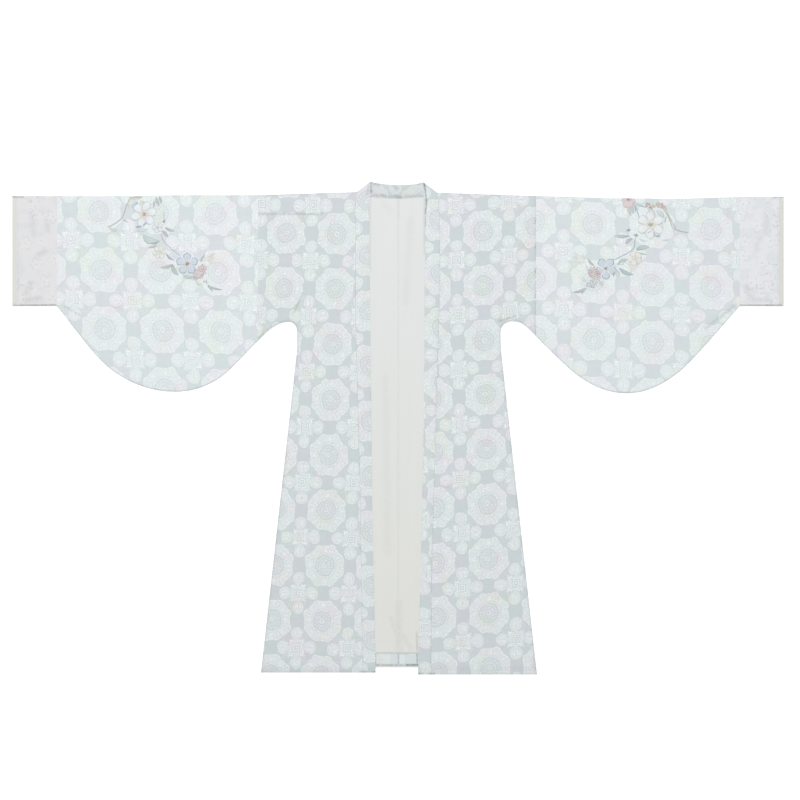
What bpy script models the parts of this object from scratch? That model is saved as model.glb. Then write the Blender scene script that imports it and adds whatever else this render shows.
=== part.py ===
"""An open-front hanfu robe laid flat, face up.

Frame: metres, the surface it lies on is z = 0, +Y runs from hem to collar, and +X is the
side shown as "right". "Reach" is a distance from the centre line, so one function cuts both
halves from one row of sizes. Every panel is a cloth wall given its thickness by Solidify.
"""

from math import exp, sqrt

import bmesh
import bpy
from mathutils import Vector
from mathutils.geometry import interpolate_bezier, intersect_point_line

# Cloth and the heights of its layers
GAP = 0.0003                 # between pieces at a seam, and between layers
WALL = 0.0012                # printed cloth
FRONT_WALL = 0.0014
LINING_WALL = 0.0010
BAND_WALL = 0.0020           # collar bands are cloth folded double
LINING_BASE = WALL + GAP
FRONT_BASE = LINING_BASE + LINING_WALL + GAP
FRONT_TOP = FRONT_BASE + FRONT_WALL
BAND_TOP = FRONT_BASE + BAND_WALL
SEAM_HEIGHT = FRONT_TOP / 2  # where front and back meet at the shoulder and side
REST = 0.0002                # under the front hem, where it passes the back hem

# How the cloth turns at a folded edge, and how far it lofts between its seams
ROLL = 0.0035
ROLL_ROWS = (0.35, 0)        # rows of points over the turn, as parts of ROLL from the fold
ROLL_START = 0.35
LOFT = 0.0010
LOFT_REACH = 0.045
CELL = 0.060                 # spacing of the cuts that let a panel follow its loft
SNAP = 0.0015

# Lengths shared by both halves
BACK_HEM = -0.5740
FACING_TOP = -0.5390
BACK_NECK = 0.5508           # centre of the neck seam
NECK_POINT = (0.0700, 0.5556)
COLLAR_DIP = 0.5837
FACING_INSET = 0.0140        # lining and facing stop this far inside the side seams
LINING_SHOULDER = 0.5480
CUFF_MOUTH = 0.9264
CUFF_SETBACK = 0.0108        # the cuff's upper layer stops short of its lower one
CUFF_LINING_DEPTH = 0.0400
CUFF_LINING_INSET = 0.0050
HEM_SETTLE = 0.0100          # run over which a front hem settles past the back hem
SEAM_CLEAR = 0.0013          # the underarm fold stops this far short of the armhole
NECKLINE_STEPS = 5

# One row a half: where each seam lies, as (reach, y) or as a reach
HALVES = [
    dict(side="left", sign=-1, front_hem=-0.5870, hem_reach=0.3290,
         side_top=(0.2424, 0.2320), side_turn=(0.2424, 0.1870), apex=(0.2640, 0.2556),
         armhole_foot=(0.3360, 0.2100), armhole_top=(0.3360, 0.5590),
         shoulder_neck=(0.1000, 0.5664), peak=(0.0660, 0.5916), cuff_seam=0.8184),
    dict(side="right", sign=1, front_hem=-0.5916, hem_reach=0.3336,
         side_top=(0.2460, 0.2320), side_turn=(0.2472, 0.1870), apex=(0.2736, 0.2568),
         armhole_foot=(0.3312, 0.2208), armhole_top=(0.3312, 0.5568),
         shoulder_neck=(0.0945, 0.5650), peak=(0.0610, 0.5900), cuff_seam=0.8208),
]

# Front band: reach of its opening edge and of its seam, hem to shoulder
BANDS = {
    "left": [
        dict(y=-0.5870, edge=0.0540, seam=0.0845),
        dict(y=-0.5420, edge=0.0542, seam=0.0852),
        dict(y=-0.2690, edge=0.0612, seam=0.0893),
        dict(y=-0.1100, edge=0.0630, seam=0.0917),
        dict(y=0.2590, edge=0.0669, seam=0.1020),
        dict(y=0.5110, edge=0.0696, seam=0.1020),
    ],
    "right": [
        dict(y=-0.5916, edge=0.0480, seam=0.0792),
        dict(y=-0.3170, edge=0.0552, seam=0.0816),
        dict(y=0.0190, edge=0.0620, seam=0.0912),
        dict(y=0.3550, edge=0.0643, seam=0.1008),
        dict(y=0.5110, edge=0.0653, seam=0.1000),
    ],
}

# Sleeve sections, armhole to cuff: reach, the fold along the top, the seam along the bottom
SLEEVES = {
    "left": [
        dict(reach=0.3360, fold=0.5590, seam=0.2100),
        dict(reach=0.3792, fold=0.5590, seam=0.1608),
        dict(reach=0.4368, fold=0.5590, seam=0.1152),
        dict(reach=0.4944, fold=0.5590, seam=0.0918),
        dict(reach=0.5520, fold=0.5588, seam=0.0882),
        dict(reach=0.6096, fold=0.5580, seam=0.0992),
        dict(reach=0.6672, fold=0.5570, seam=0.1262),
        dict(reach=0.7248, fold=0.5568, seam=0.1750),
        dict(reach=0.8184, fold=0.5568, seam=0.2928),
    ],
    "right": [
        dict(reach=0.3312, fold=0.5568, seam=0.2208),
        dict(reach=0.3696, fold=0.5562, seam=0.1824),
        dict(reach=0.4272, fold=0.5545, seam=0.1296),
        dict(reach=0.4848, fold=0.5525, seam=0.0962),
        dict(reach=0.5424, fold=0.5515, seam=0.0840),
        dict(reach=0.6000, fold=0.5512, seam=0.0922),
        dict(reach=0.6576, fold=0.5502, seam=0.1225),
        dict(reach=0.7152, fold=0.5515, seam=0.1735),
        dict(reach=0.8208, fold=0.5550, seam=0.2928),
    ],
}
STEPS_PER_SECTION = 2
SLEEVE_ROWS = 12             # points across each layer of a sleeve, between its edges
CUFF_ROWS = 6

# The largest soft folds: where the ridge starts and ends, its height and half width
FOLDS = {
    "front_left": [dict(start=(-0.3300, 0.5120), end=(-0.1900, 0.5140), height=0.0012, width=0.012)],
    "front_right": [dict(start=(0.2500, 0.1500), end=(0.2050, 0.2700), height=0.0010, width=0.014)],
    "sleeve_right": [dict(start=(0.6900, 0.2050), end=(0.8000, 0.3000), height=0.0010, width=0.022)],
}

CLOTHS = {
    "printed": dict(colour=(0.68, 0.75, 0.77), roughness=0.75),
    "band": dict(colour=(0.66, 0.73, 0.76), roughness=0.72),
    "cuff": dict(colour=(0.74, 0.75, 0.77), roughness=0.70),
    "lining": dict(colour=(0.76, 0.77, 0.74), roughness=0.65),
}


def clear_scene():
    for thing in list(bpy.data.objects):
        bpy.data.objects.remove(thing)


def cloth_material(name, cloth):
    """The piece's own material, in its cloth's colour."""
    material = bpy.data.materials.new(name + "_cloth")
    material.use_nodes = True
    shader = material.node_tree.nodes["Principled BSDF"]
    shader.inputs["Base Color"].default_value = (*CLOTHS[cloth]["colour"], 1)
    shader.inputs["Roughness"].default_value = CLOTHS[cloth]["roughness"]
    shader.inputs["Metallic"].default_value = 0
    return material


def finish(name, bm, wall, cloth):
    """Turn the open surface into an object, with its wall on the inner side."""
    mesh = bpy.data.meshes.new(name)
    bm.normal_update()
    bm.to_mesh(mesh)
    bm.free()
    mesh.materials.append(cloth_material(name, cloth))
    piece = bpy.data.objects.new(name, mesh)
    robe.objects.link(piece)
    thickness = piece.modifiers.new("Cloth wall", "SOLIDIFY")
    thickness.thickness = wall
    thickness.offset = -1
    return piece


def path_distance(point, path):
    """How far a flat point is from a path of flat points."""
    nearest = 10.0
    for start, end in zip(path, path[1:]):
        foot, along = intersect_point_line(point, start, end)
        foot = start if along < 0 else end if along > 1 else foot
        nearest = min(nearest, (point - foot).length)
    return nearest


def roll(distance):
    """Rise over a folded edge: 0 on the fold itself, 1 once the cloth lies flat."""
    part = min(distance / ROLL, 1)
    return sqrt(part * (2 - part))


def loft(distance):
    """Extra height of relaxed cloth, this far from the nearest seam."""
    return LOFT * (1 - exp(-distance / LOFT_REACH))


def fold_height(name, point):
    """Height of the soft ridges that cross this point of a piece."""
    height = 0
    for fold in FOLDS.get(name, []):
        distance = path_distance(point, [Vector(fold["start"]), Vector(fold["end"])])
        height += fold["height"] * exp(-((distance / fold["width"]) ** 2))
    return height


def settle(y):
    """0 on top of the back panel, 1 where a front hem has come down past the back hem."""
    part = min(max((BACK_HEM - y) / HEM_SETTLE, 0), 1)
    return part * part * (3 - 2 * part)


def smooth_rows(rows, columns):
    """Rows through the given ones on a Catmull-Rom curve, STEPS_PER_SECTION to a section."""
    table = [Vector([row[column] for column in columns]) for row in rows]
    padded = [2 * table[0] - table[1]] + table + [2 * table[-1] - table[-2]]
    curve = []
    for index in range(len(table) - 1):
        before, start, end, after = padded[index:index + 4]
        for step in range(STEPS_PER_SECTION):
            t = step / STEPS_PER_SECTION
            curve.append(0.5 * (2 * start + (end - before) * t
                                + (2 * before - 5 * start + 4 * end - after) * t ** 2
                                + (3 * start - before - 3 * end + after) * t ** 3))
    curve.append(table[-1])
    return curve


def bezier(start, lean_out, lean_in, end, count):
    return [Vector(point[:2]) for point in
            interpolate_bezier(*(Vector((*point, 0)) for point in (start, lean_out, lean_in, end)), count)]


def side_reach(half, y):
    """Reach of the flared side seam at a height below the underarm."""
    top, foot = half["side_turn"], (half["hem_reach"], half["front_hem"])
    return top[0] + (foot[0] - top[0]) * (top[1] - y) / (top[1] - foot[1])


def side_seam(half, hem):
    """From beside the armhole's foot round the underarm and down the side to a hem."""
    foot, apex, top = half["armhole_foot"], half["apex"], half["side_top"]
    foot = (foot[0] - SEAM_CLEAR, foot[1] + SEAM_CLEAR)
    rise = bezier(foot, (foot[0] - 0.024, foot[1] + 0.026), (apex[0] + 0.022, apex[1]), apex, 6)
    fall = bezier(apex, (apex[0] - 0.014, apex[1]), (top[0], top[1] + 0.014), top, 5)
    flare = [Vector(half["side_turn"])]
    return rise + fall[1:] + flare + [Vector((side_reach(half, hem), hem))]


def neckline(shift):
    """Points of the back neck seam, centre to neck point, moved up by a shift."""
    reach, rise = NECK_POINT[0], NECK_POINT[1] - BACK_NECK
    parts = [step / NECKLINE_STEPS for step in range(NECKLINE_STEPS + 1)]
    return [Vector((max(reach * part, GAP / 2), BACK_NECK + rise * part ** 2 + shift)) for part in parts]


def shoulder(half):
    """Along the shoulder fold, neck to armhole."""
    neck, armhole = Vector(half["shoulder_neck"]), Vector(half["armhole_top"])
    return [neck, Vector((armhole.x - GAP / 2, armhole.y))]


def fold_pairs(path, first_slide, last_slide):
    """For each point of a folded edge, itself and where the cloth inside it lies flat.

    The path runs clockwise, and its two ends slide inwards along their plain neighbours."""
    pairs = []
    for index, point in enumerate(path):
        along = (path[min(index + 1, len(path) - 1)] - path[max(index - 1, 0)]).normalized()
        inwards = Vector((along.y, -along.x))
        slide = {0: first_slide, len(path) - 1: last_slide}.get(index, inwards)
        pairs.append((point, point + slide * ROLL / inwards.dot(slide)))
    return pairs


def cut_panel(half, edges):
    """A flat open panel. Each edge is a list of points, or of pairs where the cloth folds."""
    bm = bmesh.new()

    def place(p):
        return bm.verts.new((half["sign"] * p.x, p.y, 0))

    outline = []
    for edge in edges:
        flat = [place(pair[1] if isinstance(pair, tuple) else pair) for pair in edge]
        outline += flat
        if not isinstance(edge[0], tuple):
            continue
        for part in ROLL_ROWS:
            row = [place(fold.lerp(inner, part)) for fold, inner in edge]
            for index in range(len(row) - 1):
                bm.faces.new((flat[index], flat[index + 1], row[index + 1], row[index]))
            flat = row
    bm.faces.new(outline)
    bm.normal_update()
    bmesh.ops.reverse_faces(bm, faces=[face for face in bm.faces if face.normal.z < 0])
    return bm


def slice_grid(bm, rows, columns):
    """Cut the panel across at each y in rows and each x in columns."""
    cuts = [((0, y, 0), (0, 1, 0)) for y in rows] + [((x, 0, 0), (1, 0, 0)) for x in columns]
    for place, across in cuts:
        bmesh.ops.bisect_plane(bm, geom=bm.verts[:] + bm.edges[:] + bm.faces[:], dist=SNAP,
                               plane_co=place, plane_no=across)


def even_cuts(low, high):
    count = max(round((high - low) / CELL), 1)
    return [low + (high - low) * step / count for step in range(1, count)]


def slice_along_folds(bm, name):
    """Cut along each soft ridge and its two feet, so that it keeps its line."""
    for fold in FOLDS.get(name, []):
        start, end = Vector(fold["start"]), Vector(fold["end"])
        across = (end - start).orthogonal().normalized()
        near = [f for f in bm.faces if path_distance(f.calc_center_median().xy, [start, end]) < CELL]
        for side in (-1, 0, 1):
            place = start + across * side * fold["width"]
            geom = {part for f in near if f.is_valid for part in (f, *f.edges, *f.verts)}
            cut = bmesh.ops.bisect_plane(bm, geom=list(geom), dist=SNAP,
                                         plane_co=(*place, 0), plane_no=(*across, 0))
            near += [part for part in cut["geom"] if isinstance(part, bmesh.types.BMFace)]


def turn_edges_in(bm, paths, height):
    """Carry the folded edges straight to the height where front and back meet."""
    edges = [e for e in bm.edges if e.is_boundary
             and any(path_distance(((e.verts[0].co + e.verts[1].co) / 2).xy, path) < GAP for path in paths)]
    new = bmesh.ops.extrude_edge_only(bm, edges=edges)
    for vert in (part for part in new["geom"] if isinstance(part, bmesh.types.BMVert)):
        vert.co.z = height(vert.co)


def folded_edges(top, side, neck_slide):
    """Shoulder fold, armhole corner, and the fold round the underarm to the hem."""
    corner = Vector((top[-1].x, side[0].y + 1.5 * ROLL))
    shoulder_pairs = fold_pairs(top, neck_slide, Vector((0, -1)))
    return shoulder_pairs, [corner], fold_pairs(side, Vector((0, 1)), Vector((-1, 0)))


def mirrored(half, path):
    return [Vector((half["sign"] * p.x, p.y)) for p in path]


def front_panel(half):
    """Half front with the first stretch of its sleeve, cut in one."""
    name = "front_" + half["side"]
    top, side = shoulder(half), side_seam(half, half["front_hem"])
    band_seam = [Vector((row["seam"] + GAP / 2, row["y"])) for row in BANDS[half["side"]]]
    outline = top + side + band_seam
    bm = cut_panel(half, [*folded_edges(top, side, band_seam[-1] - top[0]), band_seam])
    low, high = half["front_hem"], half["armhole_top"][1]
    inside, outside = half["sign"] * 0.08, half["sign"] * half["armhole_top"][0]
    hem_rows = [BACK_HEM + 0.001, BACK_HEM - HEM_SETTLE / 2]
    slice_grid(bm, even_cuts(low, high) + hem_rows, even_cuts(*sorted((inside, outside))))
    slice_along_folds(bm, name)
    folded = [mirrored(half, top), mirrored(half, side)]
    around = mirrored(half, outline + outline[:1])

    def settled(z, y):
        return z * (1 - settle(y) * (1 - (FRONT_WALL + REST) / FRONT_TOP))

    for vert in bm.verts:
        at = vert.co.xy
        turned = max(roll(min(path_distance(at, path) for path in folded)), ROLL_START)
        flat = SEAM_HEIGHT + (FRONT_TOP - SEAM_HEIGHT) * turned
        vert.co.z = settled(flat + loft(path_distance(at, around)) + fold_height(name, at), at.y)
    turn_edges_in(bm, folded, lambda co: settled(SEAM_HEIGHT + GAP / 2, co.y))
    finish(name, bm, FRONT_WALL, "printed")


def back_panel(half):
    """Half back, from the centre-back seam, flat on the surface it lies on."""
    name = "back_" + half["side"]
    top, side = shoulder(half), side_seam(half, BACK_HEM)
    hem = [Vector((GAP / 2, BACK_HEM))]
    bm = cut_panel(half, [*folded_edges(top, side, Vector((0, -1))), hem, neckline(0)])
    folded = [mirrored(half, top), mirrored(half, side)]
    for vert in bm.verts:
        turned = max(roll(min(path_distance(vert.co.xy, path) for path in folded)), ROLL_START)
        vert.co.z = SEAM_HEIGHT * (1 - turned)
    bmesh.ops.reverse_faces(bm, faces=bm.faces)
    turn_edges_in(bm, folded, lambda co: SEAM_HEIGHT - GAP / 2)
    finish(name, bm, WALL, "printed")


def layer(half, name, outline, top, wall, cloth):
    """A plain flat layer with its upper side at the given height."""
    bm = cut_panel(half, [outline])
    for vert in bm.verts:
        vert.co.z = top
    finish(name, bm, wall, cloth)


def lining(half):
    """The cream back lining, seen between the fronts."""
    low = FACING_TOP + GAP
    outline = [Vector(point) for point in (
        (GAP / 2, low), (side_reach(half, low) - FACING_INSET, low),
        (half["side_turn"][0] - FACING_INSET, half["side_turn"][1]),
        (half["side_top"][0] - FACING_INSET, LINING_SHOULDER),
        (NECK_POINT[0] + FACING_INSET, LINING_SHOULDER))] + neckline(-GAP)[::-1]
    layer(half, "lining_" + half["side"], outline, LINING_BASE + LINING_WALL, LINING_WALL, "lining")


def hem_facing(half):
    """Strip of the printed cloth that turns up inside the back hem."""
    outline = [Vector(point) for point in (
        (GAP / 2, BACK_HEM), (side_reach(half, BACK_HEM) - FACING_INSET, BACK_HEM),
        (side_reach(half, FACING_TOP) - FACING_INSET, FACING_TOP), (GAP / 2, FACING_TOP))]
    layer(half, "back_hem_facing_" + half["side"], outline, LINING_BASE + LINING_WALL, LINING_WALL, "printed")


def collar_front(half):
    """Folded band along the opening edge, from the hem to the fold at the neck."""
    rows = BANDS[half["side"]]
    seam = [Vector((row["seam"] - GAP / 2, row["y"])) for row in rows]
    edge = [Vector((row["edge"], row["y"])) for row in reversed(rows)]
    neck = Vector(half["shoulder_neck"]) - Vector((GAP / 2, 0))
    bm = cut_panel(half, [seam, [neck, Vector(half["peak"])], edge])
    low, high = rows[0]["y"], rows[-1]["y"]
    slice_grid(bm, even_cuts(low, high) + [BACK_HEM + 0.001, BACK_HEM - HEM_SETTLE / 2], [])
    for vert in bm.verts:
        vert.co.z = BAND_TOP * (1 - settle(vert.co.y) * (1 - (BAND_WALL + REST) / BAND_TOP))
    finish("collar_" + half["side"], bm, BAND_WALL, "band")


def collar_back():
    """The band behind the neck, its ends running under the front bands to their folds."""
    left, right = (mirrored(half, [Vector(half["shoulder_neck"]), Vector(half["peak"])]) for half in HALVES)
    lower = neckline(GAP)[:0:-1] + mirrored(HALVES[0], neckline(GAP)[1:])
    upper = bezier(left[1], (-0.030, COLLAR_DIP - 0.002), (0.030, COLLAR_DIP - 0.003), right[1], 9)
    clear = Vector((0, GAP))
    outline = lower + [left[0] + clear] + upper + [right[0] + clear]
    layer(dict(sign=1), "collar_back", outline, BAND_WALL, BAND_WALL, "band")


def across(count, low, high):
    """Distances from low to high: close together at the two folded edges, then even."""
    turns = [0, 0.0012, 0.0040, 0.0120]
    inner = [turns[-1] + (high - low - 2 * turns[-1]) * step / count for step in range(1, count)]
    return [low + d for d in turns + inner] + [high - d for d in reversed(turns)]


def flattened_tube(name, sign, sections, rows, wall, cloth, setback=0.0):
    """A tube of cloth pressed flat: a ring for each section, lofted from the first to the last."""
    bm = bmesh.new()
    first, last = sections[0][0], sections[-1][0]
    rings = []
    for reach, fold, seam in sections:
        ring = []
        lines = across(rows, seam, fold)
        for upper, y in [(True, y) for y in lines] + [(False, y) for y in reversed(lines[1:-1])]:
            edge = min(y - seam, fold - y)
            rise = SEAM_HEIGHT * roll(edge)
            x = reach
            if upper and reach == last:
                x -= setback * roll(edge)
            z = SEAM_HEIGHT - rise
            if upper:
                spare = loft(min(edge, reach - first, last - reach))
                z = SEAM_HEIGHT + rise + spare + fold_height(name, Vector((sign * x, y)))
            ring.append(bm.verts.new((sign * x, y, z)))
        rings.append(ring)
    count = len(rings[0])
    for near, far in zip(rings, rings[1:]):
        for index in range(count):
            following = (index + 1) % count
            bm.faces.new((near[index], far[index], far[following], near[following]))
    if sign < 0:
        bmesh.ops.reverse_faces(bm, faces=bm.faces)
    finish(name, bm, wall, cloth)


def sleeve(half):
    """Sleeve extension with its deep belly: folded along the top, sewn along the bottom."""
    sections = smooth_rows(SLEEVES[half["side"]], ("reach", "fold", "seam"))
    sections[0].x += GAP / 2
    sections[-1].x -= GAP / 2
    flattened_tube("sleeve_" + half["side"], half["sign"], sections, SLEEVE_ROWS, WALL, "printed")


def cuff(half):
    """Straight cuff, its lower layer reaching past the upper one at the mouth."""
    wrist = SLEEVES[half["side"]][-1]
    middle = (half["cuff_seam"] + CUFF_MOUTH) / 2
    mouth_fold = wrist["fold"] + 0.0003
    sections = [(half["cuff_seam"] + GAP / 2, wrist["fold"], wrist["seam"]),
                (middle, wrist["fold"], wrist["seam"]), (CUFF_MOUTH, mouth_fold, wrist["seam"])]
    flattened_tube("cuff_" + half["side"], half["sign"], sections, CUFF_ROWS, WALL, "cuff", CUFF_SETBACK)


def cuff_lining(half):
    """The lining on the cuff's lower layer, seen past the edge of the upper one."""
    wrist = SLEEVES[half["side"]][-1]
    low, high = wrist["seam"] + CUFF_LINING_INSET, wrist["fold"] - CUFF_LINING_INSET
    outer, inner = CUFF_MOUTH - 2 * GAP, CUFF_MOUTH - CUFF_LINING_DEPTH
    outline = [Vector(point) for point in ((inner, low), (outer, low), (outer, high), (inner, high))]
    layer(half, "cuff_lining_" + half["side"], outline, LINING_BASE + LINING_WALL, LINING_WALL, "lining")


clear_scene()
robe = bpy.data.collections.new("hanfu_robe")
bpy.context.scene.collection.children.link(robe)
for half in HALVES:
    back_panel(half)
    lining(half)
    hem_facing(half)
    front_panel(half)
    collar_front(half)
    sleeve(half)
    cuff(half)
    cuff_lining(half)
collar_back()
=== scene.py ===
from math import cos, pi, radians, sin

import bmesh
import bpy
import numpy as np
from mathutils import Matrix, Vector, noise
from mathutils.bvhtree import BVHTree


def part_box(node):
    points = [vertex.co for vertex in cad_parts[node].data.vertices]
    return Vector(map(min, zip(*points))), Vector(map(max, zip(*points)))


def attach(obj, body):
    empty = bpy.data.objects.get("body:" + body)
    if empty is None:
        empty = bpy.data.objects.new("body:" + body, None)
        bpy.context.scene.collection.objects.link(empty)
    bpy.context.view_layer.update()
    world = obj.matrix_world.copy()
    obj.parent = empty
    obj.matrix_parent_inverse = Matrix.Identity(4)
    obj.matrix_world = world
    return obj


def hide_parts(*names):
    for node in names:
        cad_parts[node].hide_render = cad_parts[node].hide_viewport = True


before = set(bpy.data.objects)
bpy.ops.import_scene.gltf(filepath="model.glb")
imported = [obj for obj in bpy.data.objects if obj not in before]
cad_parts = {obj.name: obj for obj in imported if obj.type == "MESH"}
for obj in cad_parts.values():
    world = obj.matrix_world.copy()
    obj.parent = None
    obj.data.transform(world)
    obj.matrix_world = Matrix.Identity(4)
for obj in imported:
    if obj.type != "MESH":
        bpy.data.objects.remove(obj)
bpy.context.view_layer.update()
bpy.ops.object.select_all(action="DESELECT")
print("frame loaded")

# heights and thicknesses of the layers, as the solids have them
layers = dict(
    gap=0.0003, seam=0.0021, frontTop=0.0042, bandTop=0.0048, liningTop=0.0025,
    wall=0.0012, frontWall=0.0014, bandWall=0.0020, liningWall=0.0010, rest=0.0002,
)

# how cloth turns over a folded edge, lofts between seams and ripples
drape = dict(
    roll=0.0035, rollStart=0.35, loft=0.0010, loftReach=0.045,
    cell=0.006, snap=0.0015, hemSettle=0.010, backHem=-0.5740, facingFold=-0.5760,
    wave=0.00045, waveSize=0.085, waveStretch=0.8, ripple=0.00016, rippleSize=0.026,
    pucker=0.00045, puckerSize=0.011, puckerReach=0.009, puckerStart=0.002, edgeShade=0.0018, hemShade=1.0,
    edgeCalm=0.015, creaseCalm=0.006, backCalm=0.020, tubeCalm=0.012, taper=0.6, smoothAngle=60,
)

# how near counts as the same place, and how far out the front bands' outer edges lie
senses = dict(same=1e-5, weld=2e-5, onEdge=1e-4, end=1e-7, upright=0.3, seamNear=0.002, bandReach=0.1030)


# shader maths

class Wire:
    # a socket that takes Python's own operators
    def __init__(self, tree, socket=None):
        self.tree = tree
        self.socket = socket

    def node(self, kind, settings=None, inputs=None, output=0):
        made = self.tree.nodes.new(kind)
        for name, value in (settings or {}).items():
            setattr(made, name, value)
        for name, value in (inputs or {}).items():
            if isinstance(value, Wire):
                self.tree.links.new(value.socket, made.inputs[name])
            else:
                made.inputs[name].default_value = value
        return Wire(self.tree, made.outputs[output])

    def maths(self, operation, *others):
        return self.node("ShaderNodeMath", {"operation": operation}, dict(enumerate((self, *others))))

    def __add__(self, other):
        return self.maths("ADD", other)

    def __sub__(self, other):
        return self.maths("SUBTRACT", other)

    def __mul__(self, other):
        return self.maths("MULTIPLY", other)

    def __rsub__(self, other):
        return self.node("ShaderNodeMath", {"operation": "SUBTRACT"}, {0: other, 1: self})

    __radd__ = __add__
    __rmul__ = __mul__

    def __abs__(self):
        return self.maths("ABSOLUTE")

    def __or__(self, other):
        return self.maths("MAXIMUM", other)

    def __and__(self, other):
        return self.maths("MINIMUM", other)

    def vector(self, operation, *others):
        return self.node("ShaderNodeVectorMath", {"operation": operation}, dict(enumerate((self, *others))))

    def place(self):
        # where the surface lies, in metres
        return self.node("ShaderNodeTexCoord", output=3)

    def stretch(self, scale, shift=(0, 0, 0)):
        return self.node("ShaderNodeMapping", None, {"Vector": self, "Scale": scale, "Location": shift})

    def radius(self, other):
        return (self * self + other * other).maths("SQRT")

    def bump(self):
        return self.node("ShaderNodeBump", None, {"Height": self, "Distance": 1.0, "Strength": 1.0})

    def wave(self, turns):
        # cosine of this many times the angle
        return (self * turns).maths("COSINE")

    def step(self, low, high):
        # 0 up to low, 1 from high on, softly between
        return self.node("ShaderNodeMapRange", {"interpolation_type": "SMOOTHSTEP"},
                         {"Value": self, "From Min": low, "From Max": high})

    def line(self, place, half, soft=0.006):
        # 1 within half of a place
        return 1 - abs(self - place).step(half, half + soft)

    def blend(self, first, second):
        return self.node("ShaderNodeMix", {"data_type": "RGBA"}, {0: self, 6: first, 7: second}, 2)

    def tint(self, colour, amount=1.0):
        return self.node("ShaderNodeMix", {"data_type": "RGBA", "blend_type": "MULTIPLY"},
                         {0: amount, 6: self, 7: colour}, 2)

    def part(self, index):
        return self.node("ShaderNodeSeparateXYZ", None, {0: self}, index)

    def noise(self, scale, detail=2.0, rough=0.5):
        return self.node("ShaderNodeTexNoise", None,
                         {"Vector": self, "Scale": scale, "Detail": detail, "Roughness": rough})


def screenColour(red, green, blue):
    # linear colour of a 0 to 255 screen colour

    def linear(value):
        value /= 255
        return value / 12.92 if value <= 0.04045 else ((value + 0.055) / 1.055) ** 2.4
    return (linear(red), linear(green), linear(blue), 1)


def newMaterial(name, roughness, sheen):
    material = bpy.data.materials.new(name)
    material.use_nodes = True
    shader = material.node_tree.nodes["Principled BSDF"]
    shader.inputs["Roughness"].default_value = roughness
    shader.inputs["Sheen Weight"].default_value = sheen
    shader.inputs["Sheen Roughness"].default_value = 0.5
    shader.inputs["Specular IOR Level"].default_value = 0.25
    return material, Wire(material.node_tree), shader


def feed(shader, socketName, wire):
    wire.tree.links.new(wire.socket, shader.inputs[socketName])


weaveSizes = dict(
    yarn=0.0009, depth=0.00005, slubScale=420,
    wrinkleScale=(26, 15, 1), wrinkleDepth=0.0006, wrinkleRough=0.55,
)


def weaveBump(start, extra=None):
    # plain weave, uneven yarns and fine wrinkles, on the piece's own coordinates
    place = start.place()
    turns = 2 * pi / weaveSizes["yarn"]
    crossed = place.part(0).wave(turns) * place.part(1).wave(turns)
    yarn = crossed * 0.5 + place.noise(weaveSizes["slubScale"], 1)
    wrinkle = place.stretch(weaveSizes["wrinkleScale"]).noise(1.0, 4, weaveSizes["wrinkleRough"])
    height = yarn * weaveSizes["depth"] + wrinkle * weaveSizes["wrinkleDepth"]
    if extra is not None:
        height = height + extra
    return height.bump()


# where cloth dips out of the light: start, end and width in millimetres, and depth of shade
hollows = dict(
    bodyPrint=[
        (-334, 513.5, -182, 514, 5, 0.3), (-229, 323, -251, 274, 5, 0.3), (243, 257, 283, 269, 5, 0.4),
        (-69, 588, -74, 560, 5, 0.3), (62.5, 591, 66, 565, 4.5, 0.85), (66, 565, 68.5, 542, 3.4, 0.8),
        (68.5, 542, 65.5, 515, 3.4, 0.8), (65.5, 515, 66, 485, 3, 0.45),
    ],
    sleevePrint=[(740, 240, 812, 296, 7, 0.22), (-800, 292, -762, 270, 5, 0.25)],
    neckPrint=[
        (-67, 592, -64, 566, 6, 0.55), (-64, 588.5, -45, 584, 7.5, 0.36), (62.5, 591, 66, 565, 4.5, 0.85),
        (62, 589.5, 48, 586, 6, 0.32), (-41, 559.5, -29, 556, 6.5, 0.42), (-6, 556, 6, 553.5, 6.5, 0.42),
        (19, 556, 38, 556.5, 6, 0.3), (-9.6, 584, -3.5, 575, 9, 0.34), (-60, 559, 0, 554.5, 5, 0.22),
        (0, 554.5, 55, 558, 5, 0.22),
    ],
    facingPrint=[
        (-56, -569, 20, -569.5, 5, 0.55), (20, -569, 48, -569, 4.8, 1), (-54, -539, -54.5, -568, 3.4, 0.75),
        (45.8, -539, 46.5, -568, 3.6, 0.6), (1, -540, 1.2, -566, 3.6, 0.52),
        (-56, -540.2, 50, -540.5, 3, 0.5), (4, -541.5, 24, -541.5, 3, 0.5),
    ],
    liningCloth=[
        (-56, -539.5, 50, -540, 3.4, 0.3), (45, -490, 46, -536, 4, 0.34), (2, -420, 3, -536, 17, 0.11),
        (12, -500, 30, -528, 12, 0.1), (-18, -455, -4, -495, 9, 0.1), (1.2, 550, 1.2, 505, 5.5, 0.13),
        (1.2, 505, 1, -420, 4, 0.05), (-69, 556, -70, 380, 10, 0.16), (63.5, 556, 63.5, 420, 5, 0.22),
        (-30, 535, -18, 520, 16, 0.06), (30, 500, 18, 300, 16, 0.07), (-30, 120, -24, -300, 15, 0.07),
    ],
    cuffLeft=[
        (-926, 555.5, -900, 554.5, 4.5, 0.55), (-922, 294.5, -822, 295.5, 3.6, 0.6),
        (-893, 307.5, -858, 311, 12, 0.2), (-880, 346, -892, 322, 14, 0.15),
        (-862, 418, -848, 424, 13, 0.15), (-879, 505, -876, 470, 14, 0.1), (-845, 500, -838, 470, 10, 0.12),
        (-912, 530, -912, 300, 4, 0.1),
    ],
    cuffRight=[
        (926, 556, 898, 554.5, 4.5, 0.55), (922, 294.5, 822, 295, 3.6, 0.6), (890, 308, 852, 307, 11, 0.2),
        (836, 340, 846, 318, 14, 0.15), (868, 452, 858, 436, 13, 0.14), (886, 500, 882, 470, 14, 0.1),
        (912, 530, 912, 300, 4, 0.1),
    ],
)
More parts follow.
